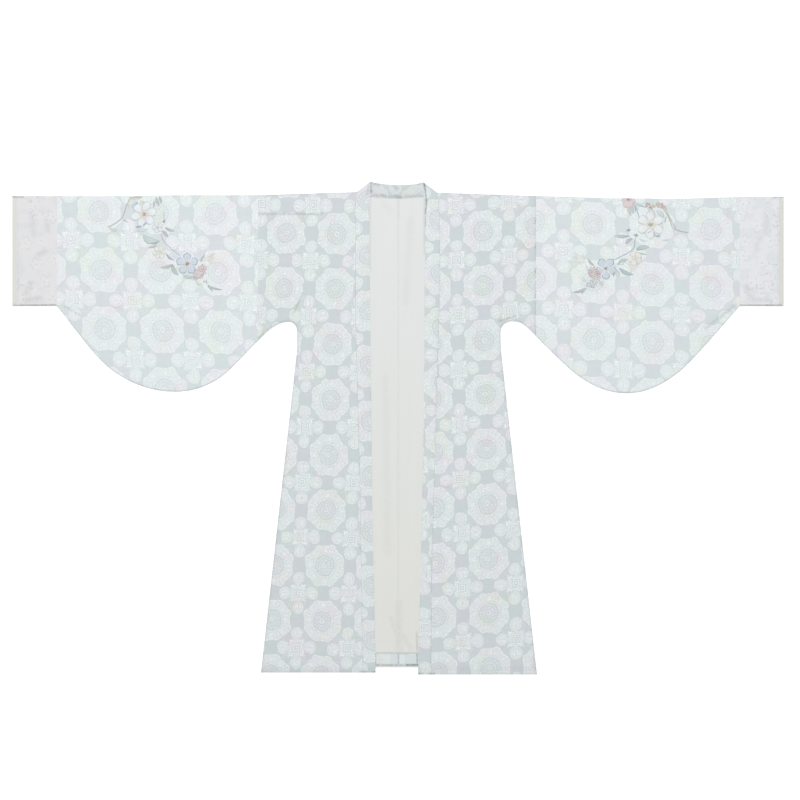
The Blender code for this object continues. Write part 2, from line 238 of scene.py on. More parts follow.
# how the painted shade looks: its tint, its share along folded edges, and how unevenly its strength falls
paintedShadeLook = dict(tint=(0.44, 0.42, 0.41, 1), edge=0.17, speckleScale=170, speckle=0.55, least=0.60)


def withPaintedShade(colour, start, name):
    # the colour with painted shade: darker in that material's hollows and along its folded edges
    place = start.place()
    x, y = place.part(0), place.part(1)
    shade = start.node("ShaderNodeAttribute", {"attribute_name": "Edge"}, output=2) * paintedShadeLook["edge"]
    speckle = place.noise(paintedShadeLook["speckleScale"], 2).step(0.30, 0.60)
    speckle = speckle * paintedShadeLook["speckle"] + paintedShadeLook["least"]
    for *line, depth in hollows.get(name, ()):
        fromX, fromY, toX, toY, width = (value / 1000 for value in line)
        runX, runY = toX - fromX, toY - fromY
        share = ((x - fromX) * runX + (y - fromY) * runY) * (1 / (runX ** 2 + runY ** 2))
        share = (share | 0.0) & 1.0
        away = (x - fromX - share * runX).radius(y - fromY - share * runY)
        shade = shade | (1 - away.step(0.0, width)) * (speckle * depth)
    return shade.blend(colour, colour.tint(paintedShadeLook["tint"]))


# the printed cloth: scalloped rosettes and four-petalled flowers on a square lattice

# rings: radius, half width, depth, number of dashes and where a dash starts; lightRings: radius, half width
rosette = dict(
    points=8, side=0.368, reach=0.044, lobes=12, lobe=0.010, petals=16, inner=0.190, innerSoft=0.015,
    tone=0.80, petalGap=0.17, pointGap=0.26, gapStart=0.22, gapEnd=0.030, tip=0.034, tipBend=0.030,
    tipTone=0.18, collar=0.216, collarBend=0.014, collarTone=0.34, coreTone=0.08, heartRing=0.062,
    heartLobes=6, heartBend=0.008, heart=0.022, heartTone=0.6, rim=0.012, rimLight=0.05, petalLight=0.07,
    rings=((0.176, 0.010, 1.20, 0, 0), (0.118, 0.007, 0.90, 0, 0), (0.090, 0.011, 0.80, 13, -0.1),
           (0.148, 0.010, 0.95, 18, 0.0)),
    lightRings=((0.104, 0.005), (0.040, 0.007), (0.162, 0.004)), ringLight=0.12,
)
blossom = dict(
    petalPlace=0.268, petal=0.115, petalTone=0.86, vein=0.055, veinTone=0.36, edge=0.030, edgeTone=0.30,
    bracket=0.126, bracketGap=0.058, bracketTone=0.84, bracketWear=0.14, block=0.164, blockTone=0.70,
    dash=0.151, dashPitch=0.052, dashGap=0.035, dashTone=1.30, disc=0.104, discTone=0.92,
    lobeBend=0.016, lobeRing=0.060, lobeTone=0.70, heart=0.028, heartTone=0.72,
)
printShades = dict(
    deep=screenColour(180, 190, 196), ground=screenColour(205, 213, 216),
    pale=screenColour(226, 231, 233), white=screenColour(243, 247, 247),
    mint=(0.978, 1.0, 0.985, 1), lavender=(1.0, 0.978, 1.0, 1),
    rose=(1.012, 0.965, 0.968, 1), straw=(1.0, 0.998, 0.955, 1),
)
printGrain = dict(
    drift=0.050, driftScale=3.1, wornScale=9.0, laceScale=26.0, lace=1.15, square=0.108, squareTone=0.15,
    wedge=0.24, wear=1.15, leastWear=0.32, wornTone=0.42, middle=0.6, sheenWear=0.12, rise=0.00004,
    strawPlace=(7.3, 2.1, 0),
)


def rosetteTone(u, v, uneven):
    # (coverage, tone) of the rosette round each lattice point
    radius, angle = u.radius(v), v.maths("ARCTAN2", u)
    broad, petal = abs(angle.wave(rosette["points"] / 2)), abs(angle.wave(rosette["petals"] / 2))
    lobes = abs(angle.wave(rosette["lobes"]))
    inside = (1 - broad) * rosette["reach"] + lobes * rosette["lobe"] - radius
    inside = inside + rosette["side"] - rosette["lobe"]
    cover = inside.step(-0.004, 0.006)
    outer = radius.step(rosette["inner"], rosette["inner"] + rosette["innerSoft"])
    gaps = (1 - petal.step(0.06, 0.36)) * rosette["petalGap"]
    gaps = gaps + (1 - broad.step(0.05, 0.26)) * rosette["pointGap"]
    gaps = gaps * radius.step(rosette["gapStart"], rosette["gapStart"] + 0.03)
    gaps = gaps * inside.step(rosette["rim"], rosette["gapEnd"])
    tips = (inside - (1 - petal) * rosette["tipBend"]).line(rosette["tip"], 0.004) * rosette["tipTone"]
    collar = (radius - petal * rosette["collarBend"]).line(rosette["collar"], 0.006) * rosette["collarTone"]
    core = (1 - outer) * rosette["coreTone"]
    for place, half, depth, dashes, start in rosette["rings"]:
        ring = radius.line(place, half)
        if dashes:
            ring = ring * angle.wave(dashes).step(start, start + 0.5)
        core = core | ring * depth
    heart = radius - angle.wave(rosette["heartLobes"]) * rosette["heartBend"]
    core = core | heart.line(rosette["heartRing"], 0.008)
    core = core | (1 - radius.step(0.008, rosette["heart"])) * rosette["heartTone"]
    light = inside.line(rosette["rim"], 0.006) * rosette["rimLight"] + petal * outer * rosette["petalLight"]
    for place, half in rosette["lightRings"]:
        light = light + radius.line(place, half) * rosette["ringLight"]
    return cover, cover * (rosette["tone"] + light - (gaps | tips | collar | core) * uneven)


def softDisc(radius, size):
    # 1 within a size, 0 outside it
    return 1 - radius.step(size - 0.006, size + 0.004)


def blossomTone(u, v, uneven):
    # tone of the four-petalled flower at each cell's middle
    far, near = abs(u) | abs(v), abs(u) & abs(v)
    angle = v.maths("ARCTAN2", u)
    petalRadius = (far - blossom["petalPlace"]).radius(near)
    petals = softDisc(petalRadius, blossom["petal"])
    veins = near.line(0.0, 0.004) * petalRadius.line(0.0, blossom["vein"]) * blossom["veinTone"]
    edge = petalRadius.line(blossom["petal"] - blossom["edge"], 0.005) * blossom["edgeTone"]
    bracket = near.step(blossom["bracketGap"], blossom["bracketGap"] + 0.012)
    bracket = far.line(blossom["bracket"], 0.010) * bracket
    block = 1 - far.step(blossom["block"], blossom["block"] + 0.006)
    dashes = far.line(blossom["dash"], 0.010) * near.wave(2 * pi / blossom["dashPitch"]).step(-0.3, 0.3)
    dashes = dashes * near.step(blossom["dashGap"], blossom["dashGap"] + 0.02)
    discRadius = (u * u * u * u + v * v * v * v).maths("POWER", 0.25)
    disc = softDisc(discRadius, blossom["disc"])
    lobed = discRadius - abs(angle.wave(4)) * blossom["lobeBend"]
    rings = lobed.line(blossom["lobeRing"], 0.008) * blossom["lobeTone"]
    rings = rings | discRadius.line(blossom["heart"], 0.007) * blossom["heartTone"]
    frameTone = block * (1 - disc) * (blossom["blockTone"] - dashes * blossom["dashTone"] * uneven)
    frameTone = frameTone | bracket * (blossom["bracketTone"] + uneven * blossom["bracketWear"])
    petalTone = petals * (1 - block) * (blossom["petalTone"] - (veins | edge) * uneven)
    return petalTone | frameTone | disc * (blossom["discTone"] - rings * uneven)


def latticeDistance(value, place):
    # signed distance to the nearest lattice line
    moved = value - place
    return moved - moved.maths("ROUND")


def printedCloth(name, brightness, contrast):
    material, start, shader = newMaterial(name, 0.72, 0.06)
    lattice = start.node("ShaderNodeUVMap", {"uv_map": "Print"})
    # no motif was printed quite true, so they drift a little
    drift = lattice.node("ShaderNodeTexNoise", None,
                         {"Vector": lattice, "Scale": printGrain["driftScale"], "Detail": 2.0}, 1)
    reach = (printGrain["drift"] * 2, printGrain["drift"] * 2, 0)
    moved = drift.vector("SUBTRACT", (0.5, 0.5, 0.5)).vector("MULTIPLY_ADD", reach, lattice)
    u, v = moved.part(0), moved.part(1)
    corner = latticeDistance(u, 0.0), latticeDistance(v, 0.0)
    middle = latticeDistance(u, 0.5), latticeDistance(v, 0.5)
    worn = lattice.noise(printGrain["wornScale"], 3)
    lace = lattice.noise(printGrain["laceScale"], 2, 0.7)
    uneven = worn.step(0.36, 0.58) * printGrain["wear"] + printGrain["leastWear"]
    cover, rosettes = rosetteTone(*corner, uneven)
    blossoms = blossomTone(*middle, uneven)
    away = (abs(middle[0]) | abs(corner[1])) & (abs(corner[0]) | abs(middle[1]))
    laced = away.step(printGrain["square"], printGrain["square"] + 0.03)
    ground = laced * (printGrain["wedge"] - printGrain["squareTone"]) + printGrain["squareTone"]
    tone = (rosettes | blossoms * (1 - cover) | ground) + (worn - 0.5) * printGrain["wornTone"]
    tone = tone + (lace - 0.5) * printGrain["lace"] * (laced * 0.8 + 0.2)
    tone = (tone - printGrain["middle"]) * contrast + printGrain["middle"]
    colour = tone.step(-0.85, -0.05).blend(printShades["deep"], printShades["ground"])
    colour = tone.step(-0.15, 0.90).blend(colour, printShades["pale"])
    colour = tone.step(0.78, 1.20).blend(colour, printShades["white"])
    cool = lattice.noise(1.3, 2).step(0.44, 0.60)
    colour = cool.blend(colour.tint(printShades["mint"]), colour.tint(printShades["lavender"]))
    rose = lattice.noise(2.9, 1).step(0.54, 0.70) * laced
    colour = rose.blend(colour, colour.tint(printShades["rose"]))
    straw = lattice.stretch((1, 1, 1), printGrain["strawPlace"]).noise(2.4, 1).step(0.54, 0.68) * laced
    colour = straw.blend(colour, colour.tint(printShades["straw"]))
    colour = colour.tint((brightness, brightness, brightness, 1))
    feed(shader, "Base Color", withPaintedShade(colour, start, name))
    feed(shader, "Roughness", 0.66 + worn * printGrain["sheenWear"])
    feed(shader, "Normal", weaveBump(start, tone * printGrain["rise"]))
    return material


cuffFloral = dict(
    scale=21.0, spread=0.8, bloom=0.36, petals=5, petalDepth=0.45, leafScale=38.0, sprigScale=13, veins=15,
    turn=(7.3, 3.1), heart=0.03,
    bloomShare=0.5, edgeShare=0.7, sprigShare=0.9, veinShare=0.20, heartShare=0.6,
)
cuffShades = dict(
    light=screenColour(226, 226, 229), dark=screenColour(220, 222, 225), bloom=screenColour(231, 230, 232),
    edge=screenColour(206, 208, 216), sprig=screenColour(200, 204, 211), vein=screenColour(214, 212, 218),
    heart=screenColour(204, 202, 208),
)


def cuffCloth(name, cast):
    # lavender grey with faint flowers and sprigs in nearly its own colour
    material, start, shader = newMaterial(name, 0.62, 0.10)
    place = start.place()
    spread = place.stretch((cuffFloral["scale"], cuffFloral["scale"], 0.001))
    cells = spread.node("ShaderNodeTexVoronoi", {"voronoi_dimensions": "2D"},
                        {"Vector": spread, "Scale": 1.0, "Randomness": cuffFloral["spread"]}, 2)
    away = spread.vector("SUBTRACT", cells)
    x, y = away.part(0), away.part(1)
    radius = x.radius(y)
    turn = cells.part(0) * cuffFloral["turn"][0] + cells.part(1) * cuffFloral["turn"][1]
    angle = y.maths("ARCTAN2", x) + turn
    lobes = abs(angle.wave(cuffFloral["petals"] / 2)) * cuffFloral["petalDepth"]
    outline = (lobes + 1 - cuffFloral["petalDepth"]) * cuffFloral["bloom"]
    worn = place.noise(70, 3).step(0.42, 0.60)
    bloom = (outline - radius).step(-0.02, 0.03)
    edge = (outline - radius).line(0.02, 0.015, 0.03) * worn
    veins = angle.wave(cuffFloral["veins"]).step(0.3, 0.9) * bloom * radius.step(0.10, 0.2)
    leafy = place.noise(cuffFloral["leafScale"], 3)
    sprig = leafy.line(0.50, 0.010, 0.012) * worn
    sprig = sprig * place.noise(cuffFloral["sprigScale"], 1).step(0.48, 0.60)
    heart = 1 - radius.step(cuffFloral["heart"], cuffFloral["heart"] + 0.04)
    colour = leafy.step(0.46, 0.62).blend(cuffShades["light"], cuffShades["dark"])
    shapes = dict(bloom=bloom, edge=edge, sprig=sprig, vein=veins, heart=heart)
    for kind, shape in shapes.items():
        colour = (shape * cuffFloral[kind + "Share"]).blend(colour, cuffShades[kind])
    # tinted by the cuff's painted shade tint, darker on the left cuff
    feed(shader, "Base Color", withPaintedShade(colour.tint(cast), start, name))
    feed(shader, "Normal", weaveBump(start))
    return material


liningStreaks = dict(scale=(60, 3, 1), share=0.25, tint=(0.96, 0.96, 0.955, 1), low=-0.50, high=0.30)


def liningCloth(name, colourLow, colourHigh):
    # smooth cream lining, its yarns only just uneven
    material, start, shader = newMaterial(name, 0.55, 0.05)
    place = start.place()
    streak = place.stretch(liningStreaks["scale"]).noise(1.0, 3).step(0.35, 0.7) * liningStreaks["share"]
    colour = place.part(1).step(liningStreaks["low"], liningStreaks["high"]).blend(colourLow, colourHigh)
    colour = streak.blend(colour, colour.tint(liningStreaks["tint"]))
    feed(shader, "Base Color", withPaintedShade(colour, start, name))
    feed(shader, "Normal", weaveBump(start))
    return material


# reading the solids

def nodeSheet(node, facing):
    # that node's outer faces on one side, pressed flat
    bm = bmesh.new()
    bm.from_mesh(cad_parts[node].data)
    bmesh.ops.remove_doubles(bm, verts=bm.verts, dist=senses["same"])
    bm.normal_update()
    tube = node.startswith(("sleeve", "cuff_left", "cuff_right"))

    def hidden(face):
        heights = [corner.co.z for corner in face.verts]
        if face.normal.z * facing < senses["upright"]:
            return True
        if not tube:
            return False
        if facing > 0:
            return min(heights) < layers["seam"] - senses["same"]
        return max(heights) > layers["seam"] + senses["same"]

    bmesh.ops.delete(bm, geom=[face for face in bm.faces if hidden(face)], context="FACES")
    for corner in bm.verts:
        corner.co.z = 0
    closeSlits(bm)
    return bm


def closeSlits(bm):
    # a sliver that stood on edge leaves a slit: its long side is split and welded to the short ones
    for edge in [edge for edge in bm.edges if edge.is_boundary]:
        start, end = (corner.co.copy() for corner in edge.verts)
        first, length = edge.verts[0], (end - start).length
        along = (end - start).normalized()
        on = [corner for corner in bm.verts if corner not in edge.verts
              and senses["onEdge"] < (corner.co - start).dot(along) < length - senses["onEdge"]
              and (corner.co - start).cross(along).length < senses["weld"]]
        for corner in sorted(on, key=lambda corner: (corner.co - start).length):
            share = (corner.co - first.co).length / edge.calc_length()
            edge, first = bmesh.utils.edge_split(edge, first, share)
            edge = next(link for link in first.link_edges if link.is_boundary
                        and (link.other_vert(first).co - end).length < senses["end"])
    bmesh.ops.remove_doubles(bm, verts=bm.verts, dist=senses["weld"])


def pointsOf(bm):
    return np.array([corner.co.xy for corner in bm.verts])


def boundaryOf(bm):
    return [tuple(np.array(corner.co.xy) for corner in edge.verts) for edge in bm.edges if edge.is_boundary]


def distancesTo(points, segments):
    # how far each flat point is from the nearest of the segments
    if not segments:
        return np.full(len(points), 1.0)
    starts = np.array([start for start, end in segments])
    along = np.array([end - start for start, end in segments])
    away = points[:, None] - starts
    share = np.clip((away * along).sum(2) / (along ** 2).sum(1), 0, 1)
    return np.sqrt(((away - share[..., None] * along) ** 2).sum(2)).min(1)


def rollOver(distance, radius=None):
    share = np.minimum(distance / (radius or drape["roll"]), 1)
    return np.sqrt(share * (2 - share))


def easeIn(distance, reach):
    # 0 on an edge, nearly 1 further in than the reach
    return 1 - np.exp(-distance / reach)


def swell(distance, reach):
    # 1 on a line, nearly 0 further off than the reach
    return np.exp(-(distance / reach) ** 2)


def loftOver(distance):
    return drape["loft"] * easeIn(distance, drape["loftReach"])


def noiseAt(points, size, seed, stretch=1.0):
    return np.array([noise.noise(Vector((x, y * stretch, seed)) / size) for x, y in points])


def waves(points, seed, calm=1.0):
    # slow waves and finer ripples of cloth that lies loose
    broad = noiseAt(points, drape["waveSize"], seed, drape["waveStretch"])
    fine = noiseAt(points, drape["rippleSize"], seed + 1)
    return (broad * drape["wave"] + fine * drape["ripple"]) * calm


def creaseHeights(points, creases):
    # soft ridges and troughs: tapered at both ends, and bowed sideways
    total = np.zeros(len(points))
    for crease in creases:
        startX, startY, endX, endY, height, width, bow = np.array(crease) / 1000
        start, run = np.array((startX, startY)), np.array((endX - startX, endY - startY))
        length = np.linalg.norm(run)
        along = run / length
        across = np.array((-along[1], along[0]))
        share = np.clip((points - start) @ along / length, 0, 1)
        middle = start + share[:, None] * run + across * (bow * 4 * share * (1 - share))[:, None]
        taper = np.sin(pi * np.clip(share, 0.02, 0.98)) ** drape["taper"]
        total += height * taper * swell(np.linalg.norm(points - middle, axis=1), width)
    return total


# building the sheets

def cutGrid(bm):
    # rows first, while there are few faces, then columns
    corners = np.array([corner.co for corner in bm.verts])
    for axis in (1, 0):
        low, high = corners[:, axis].min(), corners[:, axis].max()
        normal = Vector((0, 0, 0))
        normal[axis] = 1
        for place in np.arange(low + drape["cell"], high - drape["snap"], drape["cell"]):
            bmesh.ops.bisect_plane(bm, geom=bm.verts[:] + bm.edges[:] + bm.faces[:], dist=drape["snap"] / 2,
                                   plane_co=normal * place, plane_no=normal)


def layPrint(bm, pattern, foldLine=None):
    # lattice coordinates of each corner, carried on over a fold: one fold line, or a list by face
    lattice = bm.loops.layers.uv.new("Print")
    toCells = np.linalg.inv(np.array([pattern["across"], pattern["down"]]).T)
    lines = foldLine if isinstance(foldLine, list) else [foldLine] * len(bm.faces)
    for face, line in zip(bm.faces, lines):
        for loop in face.loops:
            x, y = loop.vert.co.xy
            if line is not None:
                y = 2 * line - y
            loop[lattice].uv = toCells @ (np.array((x, y)) - pattern["rosette"])


def markEdges(bm, away, fromHem=None):
    # 1 along the folded edges, where the cloth turns into shade, and a little more on a hem
    shade = swell(away, drape["edgeShade"])
    if fromHem is not None:
        shade += drape["hemShade"] * swell(fromHem, drape["edgeShade"])
    edge = bm.verts.layers.float.new("Edge")
    for corner, value in zip(bm.verts, shade):
        corner[edge] = value


def linked(name, data):
    thing = bpy.data.objects.new(name, data)
    bpy.context.scene.collection.objects.link(thing)
    return thing


def addWall(piece, thickness):
    # on the inner side
    wall = piece.modifiers.new("Wall", "SOLIDIFY")
    wall.thickness = thickness
    wall.offset = -1
    bpy.ops.object.modifier_apply(modifier=wall.name)


def asPiece(name, bm, wall, material):
    # object with its wall, closed and smooth
    mesh = bpy.data.meshes.new(name)
    bm.normal_update()
    bm.to_mesh(mesh)
    bm.free()
    mesh.materials.append(material)
    piece = linked(name, mesh)
    bpy.ops.object.select_all(action="DESELECT")
    bpy.context.view_layer.objects.active = piece
    piece.select_set(True)
    addWall(piece, wall)
    for corner in piece.data.vertices:
        corner.co.z = max(corner.co.z, 0)
    bpy.ops.object.shade_smooth_by_angle(angle=radians(drape["smoothAngle"]))
    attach(piece, "root")
    return piece


def declareSheet(piece, node, flat, area):
    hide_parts(node)
    cut = f"cut {flat[0]:.3f} x {flat[1]:.3f} m, {area:.4f} m2"
    print(f"{piece.name}: {len(piece.data.polygons)} faces, {cut}")


def flatSize(node):
    low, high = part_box(node)
    return (high.x - low.x, high.y - low.y)


def setHeights(bm, heights):
    for corner, height in zip(bm.verts, heights):
        corner.co.z = height


def foldedEdges(segments, node):
    # the shoulder and side folds: what isn't hem, armhole, centre line, neck or band seam
    low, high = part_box(node)
    hem, armhole = low.y, max(abs(low.x), abs(high.x))

    def plain(segment):
        reach = [abs(point[0]) for point in segment]
        rise = [point[1] for point in segment]
        atArmhole = min(reach) > armhole - senses["seamNear"]
        return max(rise) < hem + senses["seamNear"] or atArmhole or max(reach) < senses["bandReach"]

    return [segment for segment in segments if not plain(segment)]


def bodySheet(node, facing):
    # a front's or back's outer surface with an even grid, and its edges
    bm = nodeSheet(node, facing)
    segments = boundaryOf(bm)
    folded = foldedEdges(segments, node)
    centres = np.array([face.calc_center_median().xy for face in bm.faces])
    away = distancesTo(centres, folded)
    flatFaces = [face for face, distance in zip(bm.faces[:], away) if distance > drape["roll"]]
    bmesh.ops.dissolve_faces(bm, faces=flatFaces, use_verts=False)
    cutGrid(bm)
    area = sum(face.calc_area() for face in bm.faces)
    return bm, segments, folded, area


def turnIn(bm, folded, height):
    # carry the folded edges on to where front and back meet
    edges = [edge for edge in bm.edges if edge.is_boundary]
    middles = np.array([((edge.verts[0].co + edge.verts[1].co) / 2).xy for edge in edges])
    chosen = [edge for edge, away in zip(edges, distancesTo(middles, folded)) if away < layers["gap"]]
    made = bmesh.ops.extrude_edge_only(bm, edges=chosen)
    for corner in (part for part in made["geom"] if isinstance(part, bmesh.types.BMVert)):
        corner.co.z = height(corner.co.y)


def settle(y):
    # 0 on the back panel, 1 where the front hem has come down past the back hem
    share = np.clip((drape["backHem"] - y) / drape["hemSettle"], 0, 1)
    return share * share * (3 - 2 * share)


def settled(z, y):
    return z * (1 - settle(y) * (1 - (layers["frontWall"] + layers["rest"]) / layers["frontTop"]))


# fronts and backs

printPatterns = dict(
    front_left=dict(rosette=(-0.1565, 0.2010), across=(0.1212, -0.0021), down=(-0.0049, -0.1328)),
    front_right=dict(rosette=(0.2120, -0.0510), across=(0.1262, 0.0105), down=(0.0023, -0.1311)),
    sleeve_left=dict(rosette=(-0.5712, 0.3755), across=(0.1395, -0.0034), down=(0.0064, -0.1414)),
    sleeve_right=dict(rosette=(0.6102, 0.3444), across=(0.1414, -0.0069), down=(0.0008, -0.1384)),
    collar_left=dict(rosette=(-0.0580, -0.5120), across=(0.1323, -0.0002), down=(0.0018, -0.1322)),
    collar_right=dict(rosette=(-0.0040, -0.4160), across=(0.1320, 0.0014), down=(0.0043, -0.1307)),
)

# creases: start, end, height, width and bow, in millimetres
frontCreases = dict(
    front_left=[
        (-334, 513, -182, 514, -1.1, 4.5, -1), (-334, 520, -190, 521.5, 0.8, 6, 1),
        (-229, 323, -251, 274, -0.8, 6, 2), (-262, 300, -205, 360, 0.6, 13, 4),
        (-150, 480, -230, 380, 0.6, 18, 6), (-235, 150, -180, 40, 0.6, 16, 6),
        (-120, -50, -170, -260, 0.5, 22, -8), (-255, -300, -300, -540, 0.7, 20, 10),
        (-150, -380, -190, -570, -0.6, 18, -6),
    ],
    front_right=[
        (243, 257, 283, 269, -0.8, 5, 1), (250, 150, 205, 270, 0.9, 13, -4),
        (268, 300, 215, 375, -0.6, 11, 4), (300, 525, 180, 508, -0.6, 8, 3),
        (160, 440, 240, 340, 0.5, 20, -6), (240, 50, 170, -110, 0.5, 19, -8),
        (130, -220, 175, -460, 0.6, 20, 9), (290, -330, 320, -560, -0.6, 15, 5),
    ],
)


def frontPanel(half, material, seed):
    node = "front_" + half
    bm, segments, folded, area = bodySheet(node, 1)
    points = pointsOf(bm)
    fromFold, fromEdge = distancesTo(points, folded), distancesTo(points, segments)
    layPrint(bm, printPatterns[node])
    markEdges(bm, fromFold, points[:, 1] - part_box(node)[0].y)
    turned = np.maximum(rollOver(fromFold), drape["rollStart"])
    flat = layers["seam"] + (layers["frontTop"] - layers["seam"]) * turned
    lively = creaseHeights(points, frontCreases[node]) * easeIn(fromEdge, drape["creaseCalm"])
    heights = flat + loftOver(fromEdge) + lively + waves(points, seed) * easeIn(fromEdge, drape["edgeCalm"])
    setHeights(bm, settled(heights, points[:, 1]))
    turnIn(bm, folded, lambda y: settled(layers["seam"] + layers["gap"] / 2, y))
    piece = asPiece("front" + half.title(), bm, layers["frontWall"], material)
    declareSheet(piece, node, flatSize(node), area)
    return piece


def backPanel(half, material, seed):
    # the print runs on over the shoulder from the front
    node = "back_" + half
    bm, segments, folded, area = bodySheet(node, -1)
    points = pointsOf(bm)
    fromFold = distancesTo(points, folded)
    layPrint(bm, printPatterns["front_" + half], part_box("front_" + half)[1].y)
    markEdges(bm, fromFold)
    turned = np.maximum(rollOver(fromFold), drape["rollStart"])
    hollow = np.maximum(waves(points, seed), 0) * easeIn(distancesTo(points, segments), drape["backCalm"])
    setHeights(bm, layers["seam"] * (1 - turned) + np.minimum(hollow, layers["gap"]))
    turnIn(bm, folded, lambda y: layers["seam"] - layers["gap"] / 2)
    piece = asPiece("back" + half.title(), bm, layers["wall"], material)
    declareSheet(piece, node, flatSize(node), area)


# sleeves and cuffs, tubes pressed flat

sleeveCreases = dict(
    sleeve_left=[
        (-360, 170, -440, 260, 0.7, 14, 6), (-480, 105, -500, 230, -0.5, 15, 6),
        (-660, 135, -600, 250, 0.6, 18, -6), (-800, 300, -700, 360, 0.6, 15, 4),
        (-420, 530, -380, 400, 0.4, 22, 8), (-340, 512, -400, 505, -0.4, 7, 1),
    ],
    sleeve_right=[
        (720, 247, 814, 312, 1.1, 10, -4), (735, 235, 818, 292, -0.9, 8, -3),
        (370, 180, 450, 270, 0.6, 15, -6), (520, 95, 500, 220, -0.5, 16, 5),
        (640, 130, 560, 230, 0.5, 17, 6), (350, 540, 420, 420, 0.4, 20, 6),
    ],
    cuff_left=[
        (-905, 300, -880, 340, -0.5, 5, 2), (-850, 294, -858, 330, -0.5, 5, 1),
        (-825, 420, -910, 405, 0.4, 13, 4),
    ],
    cuff_right=[
        (900, 298, 884, 336, -0.5, 5, 2), (842, 296, 852, 335, -0.5, 5.5, 1),
        (828, 480, 905, 455, 0.4, 13, 4),
    ],
)
tubeSizes = dict(turns=(0, 0.0005, 0.0012, 0.0022, 0.0034, 0.0060), cuffSetback=0.0108)


def smoothThrough(places, values, at):
    # a soft curve through the sections' values
    slopes = np.gradient(values, places)
    index = np.clip(np.searchsorted(places, at, side="right") - 1, 0, len(places) - 2)
    run = places[index + 1] - places[index]
    t = (at - places[index]) / run
    return ((2 * t ** 3 - 3 * t ** 2 + 1) * values[index] + (t ** 3 - 2 * t ** 2 + t) * run * slopes[index]
            + (3 * t ** 2 - 2 * t ** 3) * values[index + 1] + (t ** 3 - t ** 2) * run * slopes[index + 1])


def tubeSections(node):
    # reach, seam and fold at each section, read from the solid's lower layer
    bm = nodeSheet(node, -1)
    reaches = {}
    for corner in bm.verts:
        reaches.setdefault(round(abs(corner.co.x), 4), []).append(corner.co.y)
    bm.free()
    places = np.array(sorted(reach for reach, ys in reaches.items() if len(ys) > 4))
    return places, np.array([min(reaches[p]) for p in places]), np.array([max(reaches[p]) for p in places])


def tubePiece(kind, half, material, pattern, seed, setback=0.0):
    node, sign = f"{kind}_{half}", -1 if half == "left" else 1
    places, seams, folds = tubeSections(node)
    columns = int((places[-1] - places[0]) / drape["cell"]) + 1
    reach = np.linspace(places[0] - layers["gap"], places[-1], columns)
    seam, fold = smoothThrough(places, seams, reach), smoothThrough(places, folds, reach)
    turns = np.array(tubeSizes["turns"])
    even = np.linspace(0, 1, int((fold - seam).max() / drape["cell"]) + 1)[1:-1]
    bm = bmesh.new()
    rings, table = [], []
    for x, low, high in zip(reach, seam, fold):
        inner = turns[-1] + (high - low - 2 * turns[-1]) * even
        lines = np.concatenate([low + turns, low + inner, (high - turns)[::-1]])
        rings.append([])
        for upper, y in [(True, y) for y in lines] + [(False, y) for y in lines[-2:0:-1]]:
            away = min(y - low, high - y)
            pulled = setback * rollOver(away) * (x - places[0]) / (places[-1] - places[0]) if upper else 0
            rings[-1].append(bm.verts.new((sign * (x - pulled), y, 0)))
            fromEnd = max(min(x - places[0], places[-1] - x), 0)
            table.append((sign * (x - pulled), y, away, y - low, fromEnd, upper))
    table = np.array(table, float)
    spots, (away, fromSeam, fromEnd, upper) = table[:, :2], table[:, 2:].T
    inward = np.minimum(away, fromEnd)
    rise = layers["seam"] * rollOver(away)
    spare = creaseHeights(spots, sleeveCreases[node]) + waves(spots, seed)
    spare = loftOver(inward) + spare * easeIn(inward, drape["tubeCalm"])
    gathers = noiseAt(spots, drape["puckerSize"], seed, 0)
    gathers *= np.exp(-fromSeam / drape["puckerReach"]) * easeIn(fromSeam, drape["puckerStart"])
    spare += drape["pucker"] * gathers
    setHeights(bm, layers["seam"] + np.where(upper > 0.5, rise + spare, -rise))
    count, topCount = len(rings[0]), len(turns) * 2 + len(even)
    foldLines, area = [], 0.0
    for near, far, foldLine in zip(rings, rings[1:], (fold[:-1] + fold[1:]) / 2):
        for index in range(count):
            following = (index + 1) % count
            face = bm.faces.new((near[index], far[index], far[following], near[following]))
            foldLines.append(foldLine if index >= topCount - 1 else None)
            area += face.calc_area()
    if sign < 0:
        bmesh.ops.reverse_faces(bm, faces=bm.faces)
    layPrint(bm, pattern, foldLines)
    markEdges(bm, away, fromSeam)
    piece = asPiece(kind + half.title(), bm, layers["wall"], material)
    width, length = flatSize(node)
    declareSheet(piece, node, (width, 2 * length), min(area, 2 * width * length))
    return piece


# lining, facing and bands

flatCreases = dict(
    lining_left=[
        (-12, 520, -20, 50, 0.4, 11, 4), (-40, 300, -34, -250, -0.4, 9, -3),
        (-20, -80, -26, -480, 0.4, 10, 4),
    ],
    lining_right=[
        (30, 480, 22, 120, 0.4, 10, 3), (12, 50, 20, -350, -0.4, 9, 4), (43, -487, 24, -511, -0.8, 3.5, 1),
        (7, -472, 20, -505, 0.8, 4, 1), (40, -250, 34, -420, 0.5, 8, 2),
    ],
    collar_left=[
        (-84, 570, -74, 500, 0.7, 5, 1), (-72, 580, -72, 520, -0.9, 3.2, 1), (-80, 300, -86, 60, 0.4, 8, 1),
        (-68, -250, -70, -480, 0.4, 7, 1),
    ],
    collar_right=[
        (80, 570, 70, 500, 0.7, 5, -1), (67, 580, 67, 520, -0.9, 3.2, 1), (80, 250, 76, -50, 0.4, 8, 1),
        (64, -200, 60, -430, 0.4, 7, 1),
    ],
    collar_back=[
        (-52, 553, -44, 578, -0.5, 3.5, 1), (-20, 552, -16, 574, -0.4, 4, 1),
        (14, 552, 20, 573, -0.4, 3.5, 1), (50, 553, 44, 577, -0.5, 4, 1),
    ],
)


